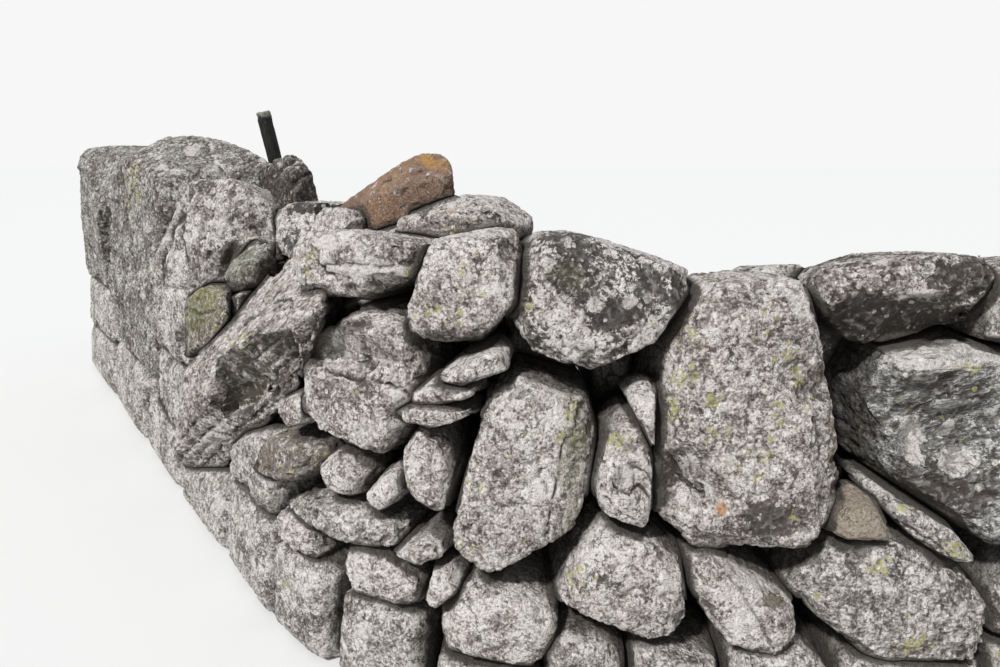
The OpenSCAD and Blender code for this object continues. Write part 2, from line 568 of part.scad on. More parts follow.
laid("stake");  // stake
for (n = ["foot_a", "foot_c", "foot_e", "foot_h", "far_foot_b", "far_foot_d"]) laid(n);  // footing_odd
for (n = ["foot_b", "foot_d", "foot_f", "foot_g", "far_foot_a", "far_foot_c", "far_foot_e"]) laid(n);  // footing_even
for (n = ["slab_bed", "near_bed", "end_bed"]) laid(n);  // bed_stones
laid("bottom_left_boulder");  // bottom_left_boulder
laid("foundation_boulder");  // foundation_boulder
laid("round_foundation_boulder");  // round_foundation_boulder
laid("diagonal_stone");  // diagonal_stone
laid("tall_stone");  // tall_stone
laid("great_boulder");  // great_boulder
laid("triangular_stone");  // triangular_stone
laid("right_block");  // right_block
laid("bend_boulder");  // bend_boulder
laid("light_grey_stone");  // light_grey_stone
laid("brownish_stone");  // brownish_stone
laid("leaning_slab");  // leaning_slab
laid("pinning_wedge");  // pinning_wedge
for (n = ["little_stone", "thin_slab_high", "small_brown_stone", "small_dark_stone",  // pinning_stones
        "orange_spotted_stone"]) laid(n);
for (n = ["thin_slab_low", "pale_stone"]) laid(n);  // wedged_slabs
laid("down_pointing_stone");  // down_pointing_stone
for (n = ["under_slab_stone", "ledge_stone"]) laid(n);  // tucked_stones
laid("tan_wedge");  // tan_wedge
laid("thin_diagonal_stone");  // thin_diagonal_stone
laid("end_middle");  // end_middle
for (n = ["end_low", "end_capstone"]) laid(n);  // end_stones
for (n = ["bend_low_a", "bend_low_b"]) laid(n);  // bend_low_stones
for (n = ["back_low_a", "back_low_b", "back_low_c", "back_low_d", "sag_b"]) laid(n);  // back_low_stones
for (n = ["back_middle_a", "back_middle_b"]) laid(n);  // back_middle_stones
for (n = ["back_top_a", "back_top_b", "sag_d"]) laid(n);  // back_top_stones
for (n = ["sag_a", "back_boulder"]) laid(n);  // sag_stones
laid("sag_c");  // sag_back_stone
laid("crest_capstone");  // crest_capstone
laid("dark_crest_boulder");  // dark_crest_boulder
laid("right_capstone");  // right_capstone
laid("small_crest_stone");  // small_crest_stone
laid("cap_slab");  // cap_slab
laid("dark_back_stone");  // dark_back_stone
laid("back_shelf");  // back_shelf
laid("grey_back_stone");  // grey_back_stone
laid("reddish_stone");  // reddish_stone
laid("shoulder_far");  // shoulder_far
laid("shoulder_near");  // shoulder_near
laid("mossy_stone");  // mossy_stone
laid("hollow_stone");  // hollow_stone
laid("far_near_boulder");  // far_near_boulder
laid("far_middle_boulder");  // far_middle_boulder
laid("far_end_boulder");  // far_end_boulder
laid("dark_cluster");  // dark_cluster
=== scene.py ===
import math

import bpy
import numpy as np
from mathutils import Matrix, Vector
from mathutils.bvhtree import BVHTree


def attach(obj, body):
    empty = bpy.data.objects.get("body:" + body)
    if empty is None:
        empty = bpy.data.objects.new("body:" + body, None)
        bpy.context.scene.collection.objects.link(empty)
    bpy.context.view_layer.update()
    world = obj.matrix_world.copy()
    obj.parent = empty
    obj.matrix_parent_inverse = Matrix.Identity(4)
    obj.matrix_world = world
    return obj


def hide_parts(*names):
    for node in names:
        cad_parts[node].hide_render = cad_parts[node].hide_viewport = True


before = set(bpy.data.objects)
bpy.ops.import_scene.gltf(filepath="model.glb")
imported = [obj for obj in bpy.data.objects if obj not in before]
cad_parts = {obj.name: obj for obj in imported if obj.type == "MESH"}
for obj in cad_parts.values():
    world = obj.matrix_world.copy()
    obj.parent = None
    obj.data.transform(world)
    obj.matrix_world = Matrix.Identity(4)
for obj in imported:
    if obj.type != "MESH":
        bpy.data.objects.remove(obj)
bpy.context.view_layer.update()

ROOT = "root"
MM = 0.001

# Camera: a phone's wide lens, at eye height
EYE = np.array([-0.05, -2.00, 1.50])
PITCH = math.radians(15.0)
LENS = 26.0
SENSOR = 36.0
PICTURE = (1000, 667)
FOCAL = PICTURE[0] * LENS / SENSOR

# Light, floor and backdrop
SUN_STRENGTH = 3.3
SUN_SPREAD = math.radians(5)
SUN_AIM = Vector((0.42, 0.52, -0.74))
SKY_COLOUR = (0.58, 0.59, 0.61)
SKY_STRENGTH = 0.8
BACKDROP_COLOUR = (0.93, 0.93, 0.93)
FLOOR_COLOUR = (0.75, 0.75, 0.74)
FLOOR_ROUGHNESS = 0.95
FLOOR_REACH = 40

# Meshes: corners are welded where they share one of SNAPS places in a metre. THINNED_SHARE of the hidden
# triangles go, on stones with over FEWEST_THINNED hidden corners, and then KEPT_SHARE of all stay.
SNAPS = 20000
KEPT_SHARE = 0.70
THINNED_SHARE = 0.93
FEWEST_THINNED = 400

# Distances on a stone, in metres
CONTACT_START = 0.006  # the look for a neighbour starts this far inside the face
CONTACT = 0.030  # and is this long
LIP = 0.018  # the width over which a joint fades into the open face
BURIED = 0.05  # and that for telling what no one sees
EDGE_REACH = 0.030  # and that for telling an edge from a face
GROUND_BAND = 0.03  # below this height, a stone keeps more of its CAD face
JOINT_WEAR = 0.010  # how deep the worn rim beside a joint is
SKY_START = 0.012  # the look for open sky starts this far outside the face
SKY_REACH = 0.45  # and is this long

# Weathering: each kind's wavelength and depth, in metres
SWELL = (0.30, 0.0055)
HOLLOWS = (0.110, 0.0040)
GROOVES = (0.060, 0.0062)
PITS = (0.032, 0.0055)
FISSURES = (0.26, 0.0060)
LAYERS = (0.052, 0.0095)
DEEPEST = 0.035  # no point is worn back farther, in metres
GROOVE_WIDTH = 0.42  # how much of the noise's range a groove takes up
FISSURE_WIDTH = 0.12  # and a fissure

# Flakes off the edges: radius and depth in metres, tilt, how many on any stone, how many more a square metre
LARGE_FLAKES = (0.12, 0.011, 0.16, 6, 16)
SMALL_FLAKES = (0.05, 0.006, 0.30, 16, 60)
FULL_FLAKES = 0.3  # they are smaller on a stone that is less than this thick, in metres
BLUNT = 0.004  # an edge that stands out less than this, in metres, loses none
SHARPEST = 0.012  # and standing out by more than this makes no more of them

# The stake's grain: waves to the metre across it and along it, and depths in metres
GRAIN_WAVES = (55, 3.5)
GRAIN_DEPTH = 0.0018
FINER = 2.3  # a second grain has this many times the waves
FINE_DEPTH = 0.0012
SPLIT_WAVES = (22, 1.6)
SPLIT_DEPTH = 0.0035
SPLIT_WIDTH = 0.14  # how much of the noise's range a split takes up
TOP_BAND = 0.10  # the height of the worn top
TOP_WEAR = (0.035, 0.004)  # its wavelength and depth

# How the drawn marks wander, in pixels, how ragged a patch is and where it has faded out, in its radii
WOBBLE = 1.6
JAGGED = 1.2
RAGGED = 0.3
PATCH_RIM = 1.35


def in_picture(co):
    """Where points fall in the picture, in pixels."""
    d = co - EYE
    c, s = math.cos(PITCH), math.sin(PITCH)
    ahead = d[:, 1] * c - d[:, 2] * s
    above = d[:, 1] * s + d[:, 2] * c
    return np.stack([PICTURE[0] / 2 + FOCAL * d[:, 0] / ahead, PICTURE[1] / 2 - FOCAL * above / ahead], 1)


# Noise. The four large odd numbers mix a lattice cell's place and the seed into one number.
MIX_X, MIX_Y, MIX_Z, MIX_SEED = 374761393, 668265263, 2246822519, 3266489917


def scatter(cell, seed):
    """A fixed number from 0 to 1 for each lattice cell."""
    c = cell.astype(np.uint32)
    h = c[..., 0] * np.uint32(MIX_X) + c[..., 1] * np.uint32(MIX_Y) + c[..., 2] * np.uint32(MIX_Z)
    h = h + np.uint32((seed * MIX_SEED) % 2 ** 32)
    h = (h ^ (h >> np.uint32(15))) * np.uint32(MIX_Z)
    h = (h ^ (h >> np.uint32(13))) * np.uint32(MIX_SEED)
    h = h ^ (h >> np.uint32(16))
    return h.astype(np.float32) / np.float32(2 ** 32 - 1)


def value_noise(p, seed):
    """Smooth noise from -1 to 1 with a wavelength of about 1."""
    cell = np.floor(p)
    f = (p - cell).astype(np.float32)
    cell = cell.astype(np.int64)
    f = f * f * f * (f * (f * 6 - 15) + 10)
    total = np.zeros(len(p), np.float32)
    for dx in (0, 1):
        wx = f[:, 0] if dx else 1 - f[:, 0]
        for dy in (0, 1):
            wy = f[:, 1] if dy else 1 - f[:, 1]
            for dz in (0, 1):
                wz = f[:, 2] if dz else 1 - f[:, 2]
                total += wx * wy * wz * scatter(cell + (dx, dy, dz), seed)
    return total * 2 - 1


def rough_noise(p, wave, octaves, seed, fall=0.5):
    """Octaves of smooth noise: the longest has wavelength wave, and each is fall times the one before."""
    total = np.zeros(len(p), np.float32)
    size = 1.0
    for k in range(octaves):
        total += size * value_noise(p * (2.03 ** k / wave) + 17.3 * k, seed + k)
        size *= fall
    return total


def fissures(p, wave, octaves, seed):
    """0 on most of the surface, up to 1 along thin wandering lines."""
    n = np.abs(rough_noise(p, wave, octaves, seed))
    return np.clip(1 - n / FISSURE_WIDTH, 0, 1)


def smooth_step(low, high, v):
    """0 below low, 1 above high, and an even S between."""
    t = np.clip((v - low) / (high - low), 0, 1)
    return t * t * (3 - 2 * t)


# Meshes
def link(name, data):
    """A new object in the scene."""
    obj = bpy.data.objects.new(name, data)
    bpy.context.scene.collection.objects.link(obj)
    return obj


def solids(obj):
    """The separate solids of a CAD node, from left to right, as welded corners and triangles."""
    mesh = obj.data
    co = np.empty(len(mesh.vertices) * 3, np.float32)
    mesh.vertices.foreach_get("co", co)
    mesh.calc_loop_triangles()
    tri = np.empty(len(mesh.loop_triangles) * 3, np.int32)
    mesh.loop_triangles.foreach_get("vertices", tri)
    grid = np.round(co.reshape(-1, 3) * SNAPS).astype(np.int64)
    key, back = np.unique(grid, axis=0, return_inverse=True)
    tri = back.reshape(-1)[tri].reshape(-1, 3)
    tri = tri[(tri[:, 0] != tri[:, 1]) & (tri[:, 1] != tri[:, 2]) & (tri[:, 0] != tri[:, 2])]
    label = np.arange(len(key))
    while True:
        new = label.copy()
        np.minimum.at(new, tri.ravel(), np.repeat(label[tri].min(1), 3))
        new = new[new]
        if (new == label).all():
            break
        label = new
    found = []
    for one in np.unique(label[tri[:, 0]]):
        own = tri[label[tri[:, 0]] == one]
        used, own = np.unique(own, return_inverse=True)
        found.append((key[used] / SNAPS, own.reshape(-1, 3)))
    return sorted(found, key=lambda s: s[0][:, 0].mean())


class Net:
    """A mesh's edges, for averaging what its vertices hold."""

    def __init__(self, mesh):
        edges = np.empty(len(mesh.edges) * 2, np.int32)
        mesh.edges.foreach_get("vertices", edges)
        self.a, self.b = edges.reshape(-1, 2).T
        self.count = len(mesh.vertices)
        self.degree = np.bincount(edges, minlength=self.count).astype(float)

    def spread(self, values, times):
        """Averages each vertex's values half and half with its neighbours' mean, times over."""
        a, b, n = self.a, self.b, self.count
        flat = values.reshape(n, -1).astype(np.float64)
        for _ in range(times):
            for k in range(flat.shape[1]):
                v = flat[:, k]
                total = np.bincount(a, v[b], n) + np.bincount(b, v[a], n)
                flat[:, k] = 0.5 * v + 0.5 * total / self.degree
        return flat.reshape(values.shape)


def clear(tree, starts, aims, reach):
    """1 for each ray that meets nothing within reach, and 0 for the others."""
    rays = zip(starts.tolist(), aims.tolist())
    return np.array([tree.ray_cast(p, d, reach)[0] is None for p, d in rays], float)


def read_vertices(data, key):
    """Three numbers for each vertex of a mesh."""
    values = np.empty(len(data) * 3, np.float32)
    data.foreach_get(key, values)
    return values.reshape(-1, 3).astype(np.float64)


def corners_of(mesh):
    return read_vertices(mesh.vertices, "co")


def normals_of(mesh):
    return read_vertices(mesh.vertex_normals, "vector")


def set_corners(mesh, co):
    mesh.vertices.foreach_set("co", co.astype(np.float32).ravel())
    mesh.update()


def store(mesh, name, values):
    """Keeps a number or a vector for each vertex, for the materials to read."""
    kind = "FLOAT" if values.ndim == 1 else "FLOAT_VECTOR"
    layer = mesh.attributes.new(name, kind, "POINT")
    layer.data.foreach_set("value" if kind == "FLOAT" else "vector", values.astype(np.float32).ravel())


# The stones' kinds: voxel is the mesh size in mm, and edge the number of rounding passes. rough is how far
# the faces are worn, and chips how many flakes are lost; 1 is usual for both.
KINDS = {
    "front": dict(voxel=7.0, rough=1.0, edge=3, chips=1.2),
    "small": dict(voxel=6.0, rough=0.6, edge=3, chips=0.6),
    "smooth": dict(voxel=8.0, rough=0.55, edge=8, chips=0.3),
    "bend": dict(voxel=8.0, rough=1.15, edge=3, chips=1.0),
    "far": dict(voxel=12.0, rough=1.1, edge=3, chips=0.8),
    "hidden": dict(voxel=15.0, rough=1.0, edge=3, chips=0.6),
}
# Each node's kind and look
STONES = {
    "stake": ("small", "wood"),
    "footing_odd": ("hidden", "grey"),
    "footing_even": ("hidden", "grey"),
    "bed_stones": ("far", "grey"),
    "bottom_left_boulder": ("front", "pale"),
    "foundation_boulder": ("front", "pale"),
    "round_foundation_boulder": ("front", "grey"),
    "diagonal_stone": ("front", "pale"),
    "tall_stone": ("front", "pale"),
    "great_boulder": ("front", "great"),
    "triangular_stone": ("front", "pale"),
    "right_block": ("front", "block"),
    "bend_boulder": ("bend", "pink"),
    "light_grey_stone": ("bend", "grey"),
    "brownish_stone": ("bend", "brown"),
    "leaning_slab": ("bend", "slab"),
    "pinning_wedge": ("small", "pale"),
    "pinning_stones": ("small", "pink"),
    "wedged_slabs": ("small", "pale"),
    "down_pointing_stone": ("small", "pink"),
    "tucked_stones": ("small", "pink"),
    "tan_wedge": ("small", "tan"),
    "thin_diagonal_stone": ("small", "grey"),
    "end_middle": ("hidden", "pink"),
    "end_stones": ("hidden", "grey"),
    "bend_low_stones": ("bend", "pink"),
    "back_low_stones": ("hidden", "grey"),
    "back_middle_stones": ("hidden", "grey"),
    "back_top_stones": ("hidden", "grey"),
    "sag_stones": ("hidden", "grey"),
    "sag_back_stone": ("hidden", "grey"),
    "crest_capstone": ("front", "crest"),
    "dark_crest_boulder": ("front", "crust"),
    "right_capstone": ("front", "dusk"),
    "small_crest_stone": ("small", "grey"),
    "cap_slab": ("bend", "crest"),
    "dark_back_stone": ("hidden", "crust"),
    "back_shelf": ("bend", "grey"),
    "grey_back_stone": ("bend", "crest"),
    "reddish_stone": ("smooth", "red"),
    "shoulder_far": ("bend", "crust"),
    "shoulder_near": ("bend", "pale"),
    "mossy_stone": ("bend", "moss"),
    "hollow_stone": ("bend", "green"),
    "far_near_boulder": ("far", "lump"),
    "far_middle_boulder": ("far", "far"),
    "far_end_boulder": ("far", "far"),
    "dark_cluster": ("bend", "black"),
}

# Marks that show in the picture, with their places and sizes in its pixels
def patch(layer, x, y, wide, high, strength=1.0, tilt=0.0):
    """A patch of lichen, crust, bare stone or painted shade: an ellipse with ragged edges."""
    return dict(kind="patch", layer=layer, place=(x, y), size=(wide, high), strength=strength, tilt=tilt)


def crack(depth, width, *points):
    """A groove along a line, depth in mm."""
    return dict(kind="crack", depth=depth * MM, width=width, line=points)


def ledge(depth, width, *points):
    """A step along a line, depth in mm. What lies on the line's right-hand side is lower."""
    return dict(kind="ledge", depth=depth * MM, width=width, line=points)


def dent(depth, x, y, wide, high, tilt=0.0):
    """A round hollow, depth in mm."""
    return dict(kind="dent", depth=depth * MM, place=(x, y), size=(wide, high), tilt=tilt)


MARKS = {
    "great_boulder": {
        "white blob by the capstone": patch("white", 808, 305, 24, 26, 1.2),
        "white trail above it": patch("white", 800, 280, 18, 8, 0.7, 30),
        "yellow at the upper left": patch("yellow", 686, 335, 15, 12),
        "yellow at the left": patch("yellow", 682, 376, 14, 8),
        "yellow at the left edge": patch("yellow", 669, 412, 7, 15, 1.1),
        "yellow in the middle left": patch("yellow", 712, 402, 14, 10, 0.9),
        "yellow in the middle": patch("yellow", 722, 432, 24, 13, 0.9),
        "yellow at the right": patch("yellow", 790, 358, 11, 10),
        "yellow at the right edge": patch("yellow", 806, 382, 8, 14, 1.1),
        "yellow at the foot": patch("yellow", 697, 495, 9, 7),
        "orange spot": patch("orange", 723, 509, 9, 9, 1.1),
        "faint orange spot": patch("orange", 706, 346, 6, 6, 0.7),
        "pale smooth patch": patch("white", 692, 460, 13, 11, 0.6),
        "bare strip, top": patch("bare", 835, 385, 12, 40, 1.2, -8),
        "bare strip, middle": patch("bare", 845, 445, 17, 42, 1.3, -8),
        "bare strip, foot": patch("bare", 851, 497, 25, 32, 1.3),
        # painted shade: in the notch, in the crevice over the foot and under the top
        "painted shade in the hollow": patch("dark", 673, 485, 20, 20, 1.2),
        "painted shade over the foot": patch("dark", 770, 517, 34, 17, 0.8),
        "shade under the top": patch("dark", 733, 303, 30, 10, 0.5),
        "nick by the bare strip": crack(9, 4, (818, 418), (826, 440), (822, 462)),
        "dip in the middle": dent(6, 752, 452, 42, 30),
        "dip at the upper left": dent(6, 705, 372, 26, 34),
        "lip of the foot": ledge(9, 14, (690, 530), (730, 543), (800, 552)),
    },
    "tall_stone": {
        "green facet": patch("green", 574, 455, 15, 72, 0.8),
        # painted shade on the side facet turned from the light
        "painted shade on the facet": patch("dark", 590, 405, 10, 30, 0.9),
        "yellow at the foot": patch("yellow", 467, 551, 15, 12),
        "yellow by the facet": patch("yellow", 568, 425, 12, 34, 0.6),
        "white by the edge": patch("white", 548, 400, 12, 18, 0.5),
        "split by the facet": crack(8, 3, (574, 388), (566, 440), (555, 500), (547, 540)),
    },
    "triangular_stone": {
        "upper crack": crack(10, 3, (628, 462), (640, 470), (655, 480)),
        "winding crack": crack(12, 3, (612, 476), (625, 490), (632, 493), (640, 488), (650, 498),
                               (656, 520)),
        "lower crack": crack(9, 3, (605, 500), (620, 515), (640, 535)),
        "yellow at the top": patch("yellow", 612, 440, 14, 11),
        "pale face": patch("white", 628, 480, 20, 44, 0.62),
    },
    "bend_boulder": {
        "long crack": crack(14, 4, (310, 362), (323, 366), (348, 373), (365, 372), (385, 383), (420, 388)),
        "upper crack": crack(8, 3, (352, 345), (362, 356), (356, 366)),
        "dark scar": patch("dark", 355, 325, 22, 9, 0.9),
        "yellow in the middle": patch("yellow", 359, 390, 11, 7),
        "yellow at the right": patch("yellow", 424, 392, 8, 7),
        "dip below the crack": dent(8, 395, 412, 20, 16),
        "edge of the lower face": ledge(10, 12, (306, 408), (330, 430), (352, 452), (368, 462)),
    },
    "crest_capstone": {
        "shade at the foot, left": patch("dark", 430, 338, 24, 9, 0.9),
        "shade at the foot, right": patch("dark", 480, 337, 26, 9, 0.9),
        "yellow at the left": patch("yellow", 438, 262, 18, 15, 0.6),
    },
    "right_capstone": {
        "white spots on the edge": patch("white", 925, 294, 20, 7, 0.8),
        "brown top": patch("dark", 960, 275, 32, 13, 0.7),
        # painted shade on the underside below the ridge
        "painted shade on the face": patch("dark", 880, 328, 60, 22, 1.1),
        "brown foot": patch("bare", 868, 345, 22, 8, 0.8),
        "split in the face": crack(9, 3, (852, 318), (872, 330), (880, 345)),
    },
    "right_block": {
        "pale top": patch("white", 940, 352, 78, 18, 1.15),
        "yellow line": patch("yellow", 972, 368, 28, 5, 0.9),
        "pale middle": patch("white", 915, 425, 24, 44, 0.70),
        # painted shade in the set-back band under the top ledge
        "painted shade in the set-back band": patch("dark", 960, 395, 55, 12, 0.35),
        "bare side": patch("bare", 853, 452, 15, 52, 1.3),
        "dark foot": patch("dark", 935, 500, 60, 30, 0.9),
        "white patch": patch("white", 968, 459, 28, 20, 1.2),
        "pale corner": patch("white", 893, 395, 12, 34, 0.5),
        "top layer": ledge(9, 7, (890, 366), (930, 368), (1000, 364)),
        "layer in the band": crack(7, 3, (912, 404), (950, 396), (1000, 400)),
        "layer under the ledge": crack(8, 3, (905, 468), (950, 490), (1000, 497)),
        "lower layer": crack(8, 3, (925, 500), (960, 518), (1000, 523)),
    },
    "thin_diagonal_stone": {
        "yellow at the top": patch("yellow", 905, 505, 11, 7),
        "yellow at the foot": patch("yellow", 952, 552, 15, 9, 1.1),
        "split along it": crack(6, 3, (893, 520), (920, 536), (950, 556)),
    },
    "diagonal_stone": {
        "bare patch": patch("bare", 775, 600, 17, 12, 1.2),
        "white patch": patch("white", 752, 580, 15, 11, 0.7),
        "ridge along it": ledge(10, 10, (715, 560), (745, 590), (762, 622), (776, 650)),
    },
    "round_foundation_boulder": {
        "yellow by the wedge": patch("yellow", 880, 565, 16, 10),
        "yellow in the middle": patch("yellow", 915, 645, 14, 8),
        "dip at the left": dent(8, 845, 615, 28, 20),
    },
    "foundation_boulder": {
        "yellow at the left": patch("yellow", 572, 575, 12, 10, 0.8),
        "dip in the face": dent(8, 630, 600, 30, 20),
    },
    "bottom_left_boulder": {
        "white patch": patch("white", 480, 625, 16, 12, 0.5),
    },
    "dark_crest_boulder": {
        "dark crust": patch("dark", 562, 266, 60, 40, 0.50),
        "dark patch, upper left": patch("dark", 533, 282, 20, 20, 0.5),
        "dark patch, lower right": patch("dark", 612, 316, 30, 13, 0.8, -15),
        "pale foot": patch("white", 570, 344, 56, 14, 0.45),
        "white rosette": patch("white", 595, 306, 11, 9, 0.9),
        "second white rosette": patch("white", 631, 301, 13, 8, 0.9),
        "third white rosette": patch("white", 545, 262, 12, 9, 0.7),
        "yellow spot": patch("yellow", 526, 308, 8, 6),
        "grey-green middle": patch("green", 572, 275, 18, 14, 0.4),
        # painted shade along the right side
        "painted shade at the right edge": patch("dark", 680, 300, 9, 26, 0.8),
        "ridge down the right": ledge(10, 14, (640, 255), (655, 290), (648, 330), (615, 362)),
    },
    "cap_slab": {
        "pale rim of the ring": patch("white", 324, 242, 15, 10, 0.9),
        "tan middle of the ring": patch("bare", 324, 243, 8, 5, 1.4),
        "yellow at the right": patch("yellow", 417, 272, 15, 10),
        "yellow at the left": patch("yellow", 302, 262, 16, 12, 0.5),
        "pale face": patch("white", 362, 270, 62, 20, 0.62),
        "layer across": ledge(9, 8, (300, 268), (340, 262), (380, 266), (425, 258)),
        "step at the left": crack(8, 3, (312, 258), (322, 272), (340, 280)),
    },
    "grey_back_stone": {
        "orange spot": patch("orange", 449, 210, 9, 5, 0.9),
        "white edge": patch("white", 455, 200, 16, 6, 0.9),
    },
    "reddish_stone": {
        "orange lichen": patch("orange", 430, 160, 17, 11, 0.9, 20),
        # painted shade along the ridge, where the front face turns from the light
        "painted shade under the ridge": patch("dark", 420, 184, 30, 5, 0.9, -14),
        "split in the front": crack(7, 3, (392, 205), (400, 196), (404, 190)),
        "split in the top": crack(5, 3, (380, 183), (400, 176), (420, 170)),
    },
    "dark_cluster": {
        "pale vein": patch("white", 280, 170, 16, 2, 0.8, -35),
        "second pale vein": patch("white", 300, 162, 12, 2, 0.7, -20),
        "split": crack(16, 4, (272, 178), (284, 165), (300, 156)),
        "second split": crack(14, 4, (292, 190), (300, 176), (316, 170)),
    },
    "far_middle_boulder": {
        "yellow vein": patch("yellow", 131, 192, 9, 30, 0.7),
        "white vein": patch("white", 128, 188, 3, 26, 0.6),
        "pale patch": patch("white", 190, 148, 10, 14, 0.7),
        "slanting vein": patch("white", 215, 157, 4, 22, 0.8, -30),
        "rosettes": patch("white", 161, 166, 12, 6, 0.7),
        "split by the vein": crack(14, 3, (204, 140), (212, 156), (226, 176)),
        "split at the left": crack(14, 3, (128, 165), (129, 195), (124, 220)),
    },
    "far_near_boulder": {
        "white spot": patch("white", 211, 222, 8, 4, 1.1),
        "brown top": patch("dark", 205, 187, 14, 7, 0.8),
        "hole": dent(18, 208, 254, 6, 7),
        "cavity": dent(26, 229, 258, 10, 20, 15),
        # painted shade in the cavity and the hole
        "painted shade in the cavity": patch("dark", 229, 258, 9, 20, 1.5, 15),
        "painted shade in the hole": patch("dark", 208, 254, 5, 6, 1.5),
        "second hole": dent(16, 253, 230, 8, 5),
        "ledge at the foot": ledge(14, 8, (165, 284), (200, 290), (222, 284)),
        "split down the face": crack(14, 4, (180, 205), (178, 235), (184, 262)),
        "left edge": crack(20, 4, (157, 290), (160, 262), (168, 235), (178, 212), (190, 192)),
    },
    "mossy_stone": {
        "moss": patch("green", 192, 312, 28, 26, 1.3),
        "yellow moss": patch("yellow", 200, 292, 22, 14, 0.8),
        "ledge": ledge(12, 6, (180, 305), (200, 312), (225, 305)),
    },
    "hollow_stone": {
        "grey-green": patch("green", 240, 262, 26, 20, 0.45),
        # painted shade on the side under the overhang
        "painted shade on the side": patch("dark", 268, 270, 10, 16, 0.8),
    },
    "shoulder_far": {
        "dark top": patch("dark", 315, 207, 34, 7, 1.0),
        "white spots": patch("white", 300, 214, 12, 4, 0.7),
        "split": crack(14, 4, (282, 222), (294, 232), (290, 250)),
        "second split": crack(12, 4, (300, 210), (308, 226), (322, 232)),
    },
    "leaning_slab": {
        "yellow along the edge": patch("yellow", 238, 343, 16, 11, 0.9, -30),
        "grey-green face": patch("green", 248, 375, 36, 22, 0.45, -40),
        "brown strip": patch("bare", 280, 385, 10, 34, 1.2, 35),
        # painted shade on the near face turned from the light
        "painted shade on the face": patch("dark", 256, 376, 82, 22, 0.85, -38),
        "pale layer": patch("white", 250, 366, 58, 3, 0.75, -40),
        "second pale layer": patch("white", 262, 376, 52, 2.5, 0.70, -36),
        "third pale layer": patch("white", 246, 396, 56, 3, 0.75, -42),
        "fourth pale layer": patch("white", 272, 392, 40, 2.5, 0.65, -40),
        "long split": crack(9, 2.5, (185, 455), (215, 425), (250, 395), (290, 360), (318, 328)),
        "second long split": crack(9, 2.5, (178, 440), (205, 410), (232, 385), (262, 352), (300, 322)),
        "third long split": crack(9, 2.5, (200, 470), (240, 428), (275, 396), (298, 372)),
        "pale foot": patch("white", 214, 434, 42, 26, 0.60, -50),
        "layer in the lit face": ledge(10, 7, (225, 335), (260, 305), (285, 280)),
        "second layer in the lit face": crack(8, 3, (240, 322), (270, 300), (300, 296)),
    },
    "brownish_stone": {
        "yellow at the foot": patch("yellow", 287, 470, 14, 6),
        "yellow at the left": patch("yellow", 254, 468, 9, 7, 0.9),
        "pale left": patch("white", 258, 456, 14, 12, 0.4),
        "ledge": ledge(7, 6, (246, 462), (275, 470), (310, 464)),
    },
    "pinning_stones": {
        "orange spots": patch("orange", 372, 483, 6, 5, 0.9),
        "white spots": patch("white", 383, 478, 8, 6, 0.7),
    },
}


def tilted(px, mark):
    """Distance from an ellipse's centre, 1 on its rim."""
    t = math.radians(mark["tilt"])
    d = px - np.array(mark["place"], float)
    along = d[:, 0] * math.cos(t) + d[:, 1] * math.sin(t)
    across = d[:, 1] * math.cos(t) - d[:, 0] * math.sin(t)
    return np.hypot(along / mark["size"][0], across / mark["size"][1])


def off_line(px, points):
    """How far each place in the picture is from a drawn line, and whether it's on the line's right."""
    best = np.full(len(px), 1e9)
    right = np.zeros(len(px))
    for a, b in zip(points[:-1], points[1:]):
        a, run = np.array(a, float), np.array(b, float) - np.array(a, float)
        share = np.clip((px - a) @ run / (run @ run), 0, 1)
        d = px - a - np.outer(share, run)
        far = np.hypot(d[:, 0], d[:, 1])
        near = far < best
        best[near] = far[near]
        right[near] = (run[0] * d[:, 1] - run[1] * d[:, 0] > 0)[near]
    return best, right


def read_marks(name, co, nrm):
    """What the picture's marks do to a stone: how far it is cut back, and its painted layers."""
    cut = np.zeros(len(co))
    layers = {}
    if name not in MARKS:
        return cut, layers
    toward = EYE - co
    facing = smooth_step(-0.05, 0.15, (nrm * toward).sum(1) / np.linalg.norm(toward, axis=1))
    wobble = np.stack([rough_noise(co, 0.05, 3, 71), rough_noise(co, 0.05, 3, 83)], 1)
    px = in_picture(co) + WOBBLE * wobble
    jagged = np.stack([rough_noise(co, 0.02, 2, 91), rough_noise(co, 0.02, 2, 97)], 1)
    for mark in MARKS[name].values():
        if mark["kind"] == "patch":
            r = tilted(px, mark) + RAGGED * wobble[:, 0]
            layer = np.clip(PATCH_RIM - r, 0, 1) * mark["strength"] * facing
            layers[mark["layer"]] = np.maximum(layers.get(mark["layer"], 0), layer)
        elif mark["kind"] == "dent":
            r = np.clip(tilted(px, mark), 0, 1)
            cut += mark["depth"] * facing * (1 - r * r) ** 2
        elif mark["kind"] == "crack":
            far = off_line(px + JAGGED * jagged, mark["line"])[0] / mark["width"]
            # a crack never closes by more than 85%
            whole = np.clip(0.75 + 0.9 * wobble[:, 1], 0.15, 1)
            cut += mark["depth"] * facing * whole * np.clip(1 - far, 0, 1)
            groove = facing * whole * np.clip(1.3 - 1.7 * far, 0, 1)
            layers["groove"] = np.maximum(layers.get("groove", 0), groove)
        else:
            far, right = off_line(px, mark["line"])
            cut += mark["depth"] * facing * right * (1 - smooth_step(0, mark["width"], far))
    return cut, layers


# Directions in which a point looks for open sky
SKY = [(0.00, 0.00, 1.00), (0.80, 0.10, 0.59), (-0.35, 0.72, 0.60), (-0.42, -0.70, 0.58),
       (0.45, -0.76, 0.47), (0.50, 0.80, 0.33), (-0.90, 0.05, 0.43), (0.10, -0.30, -0.95)]


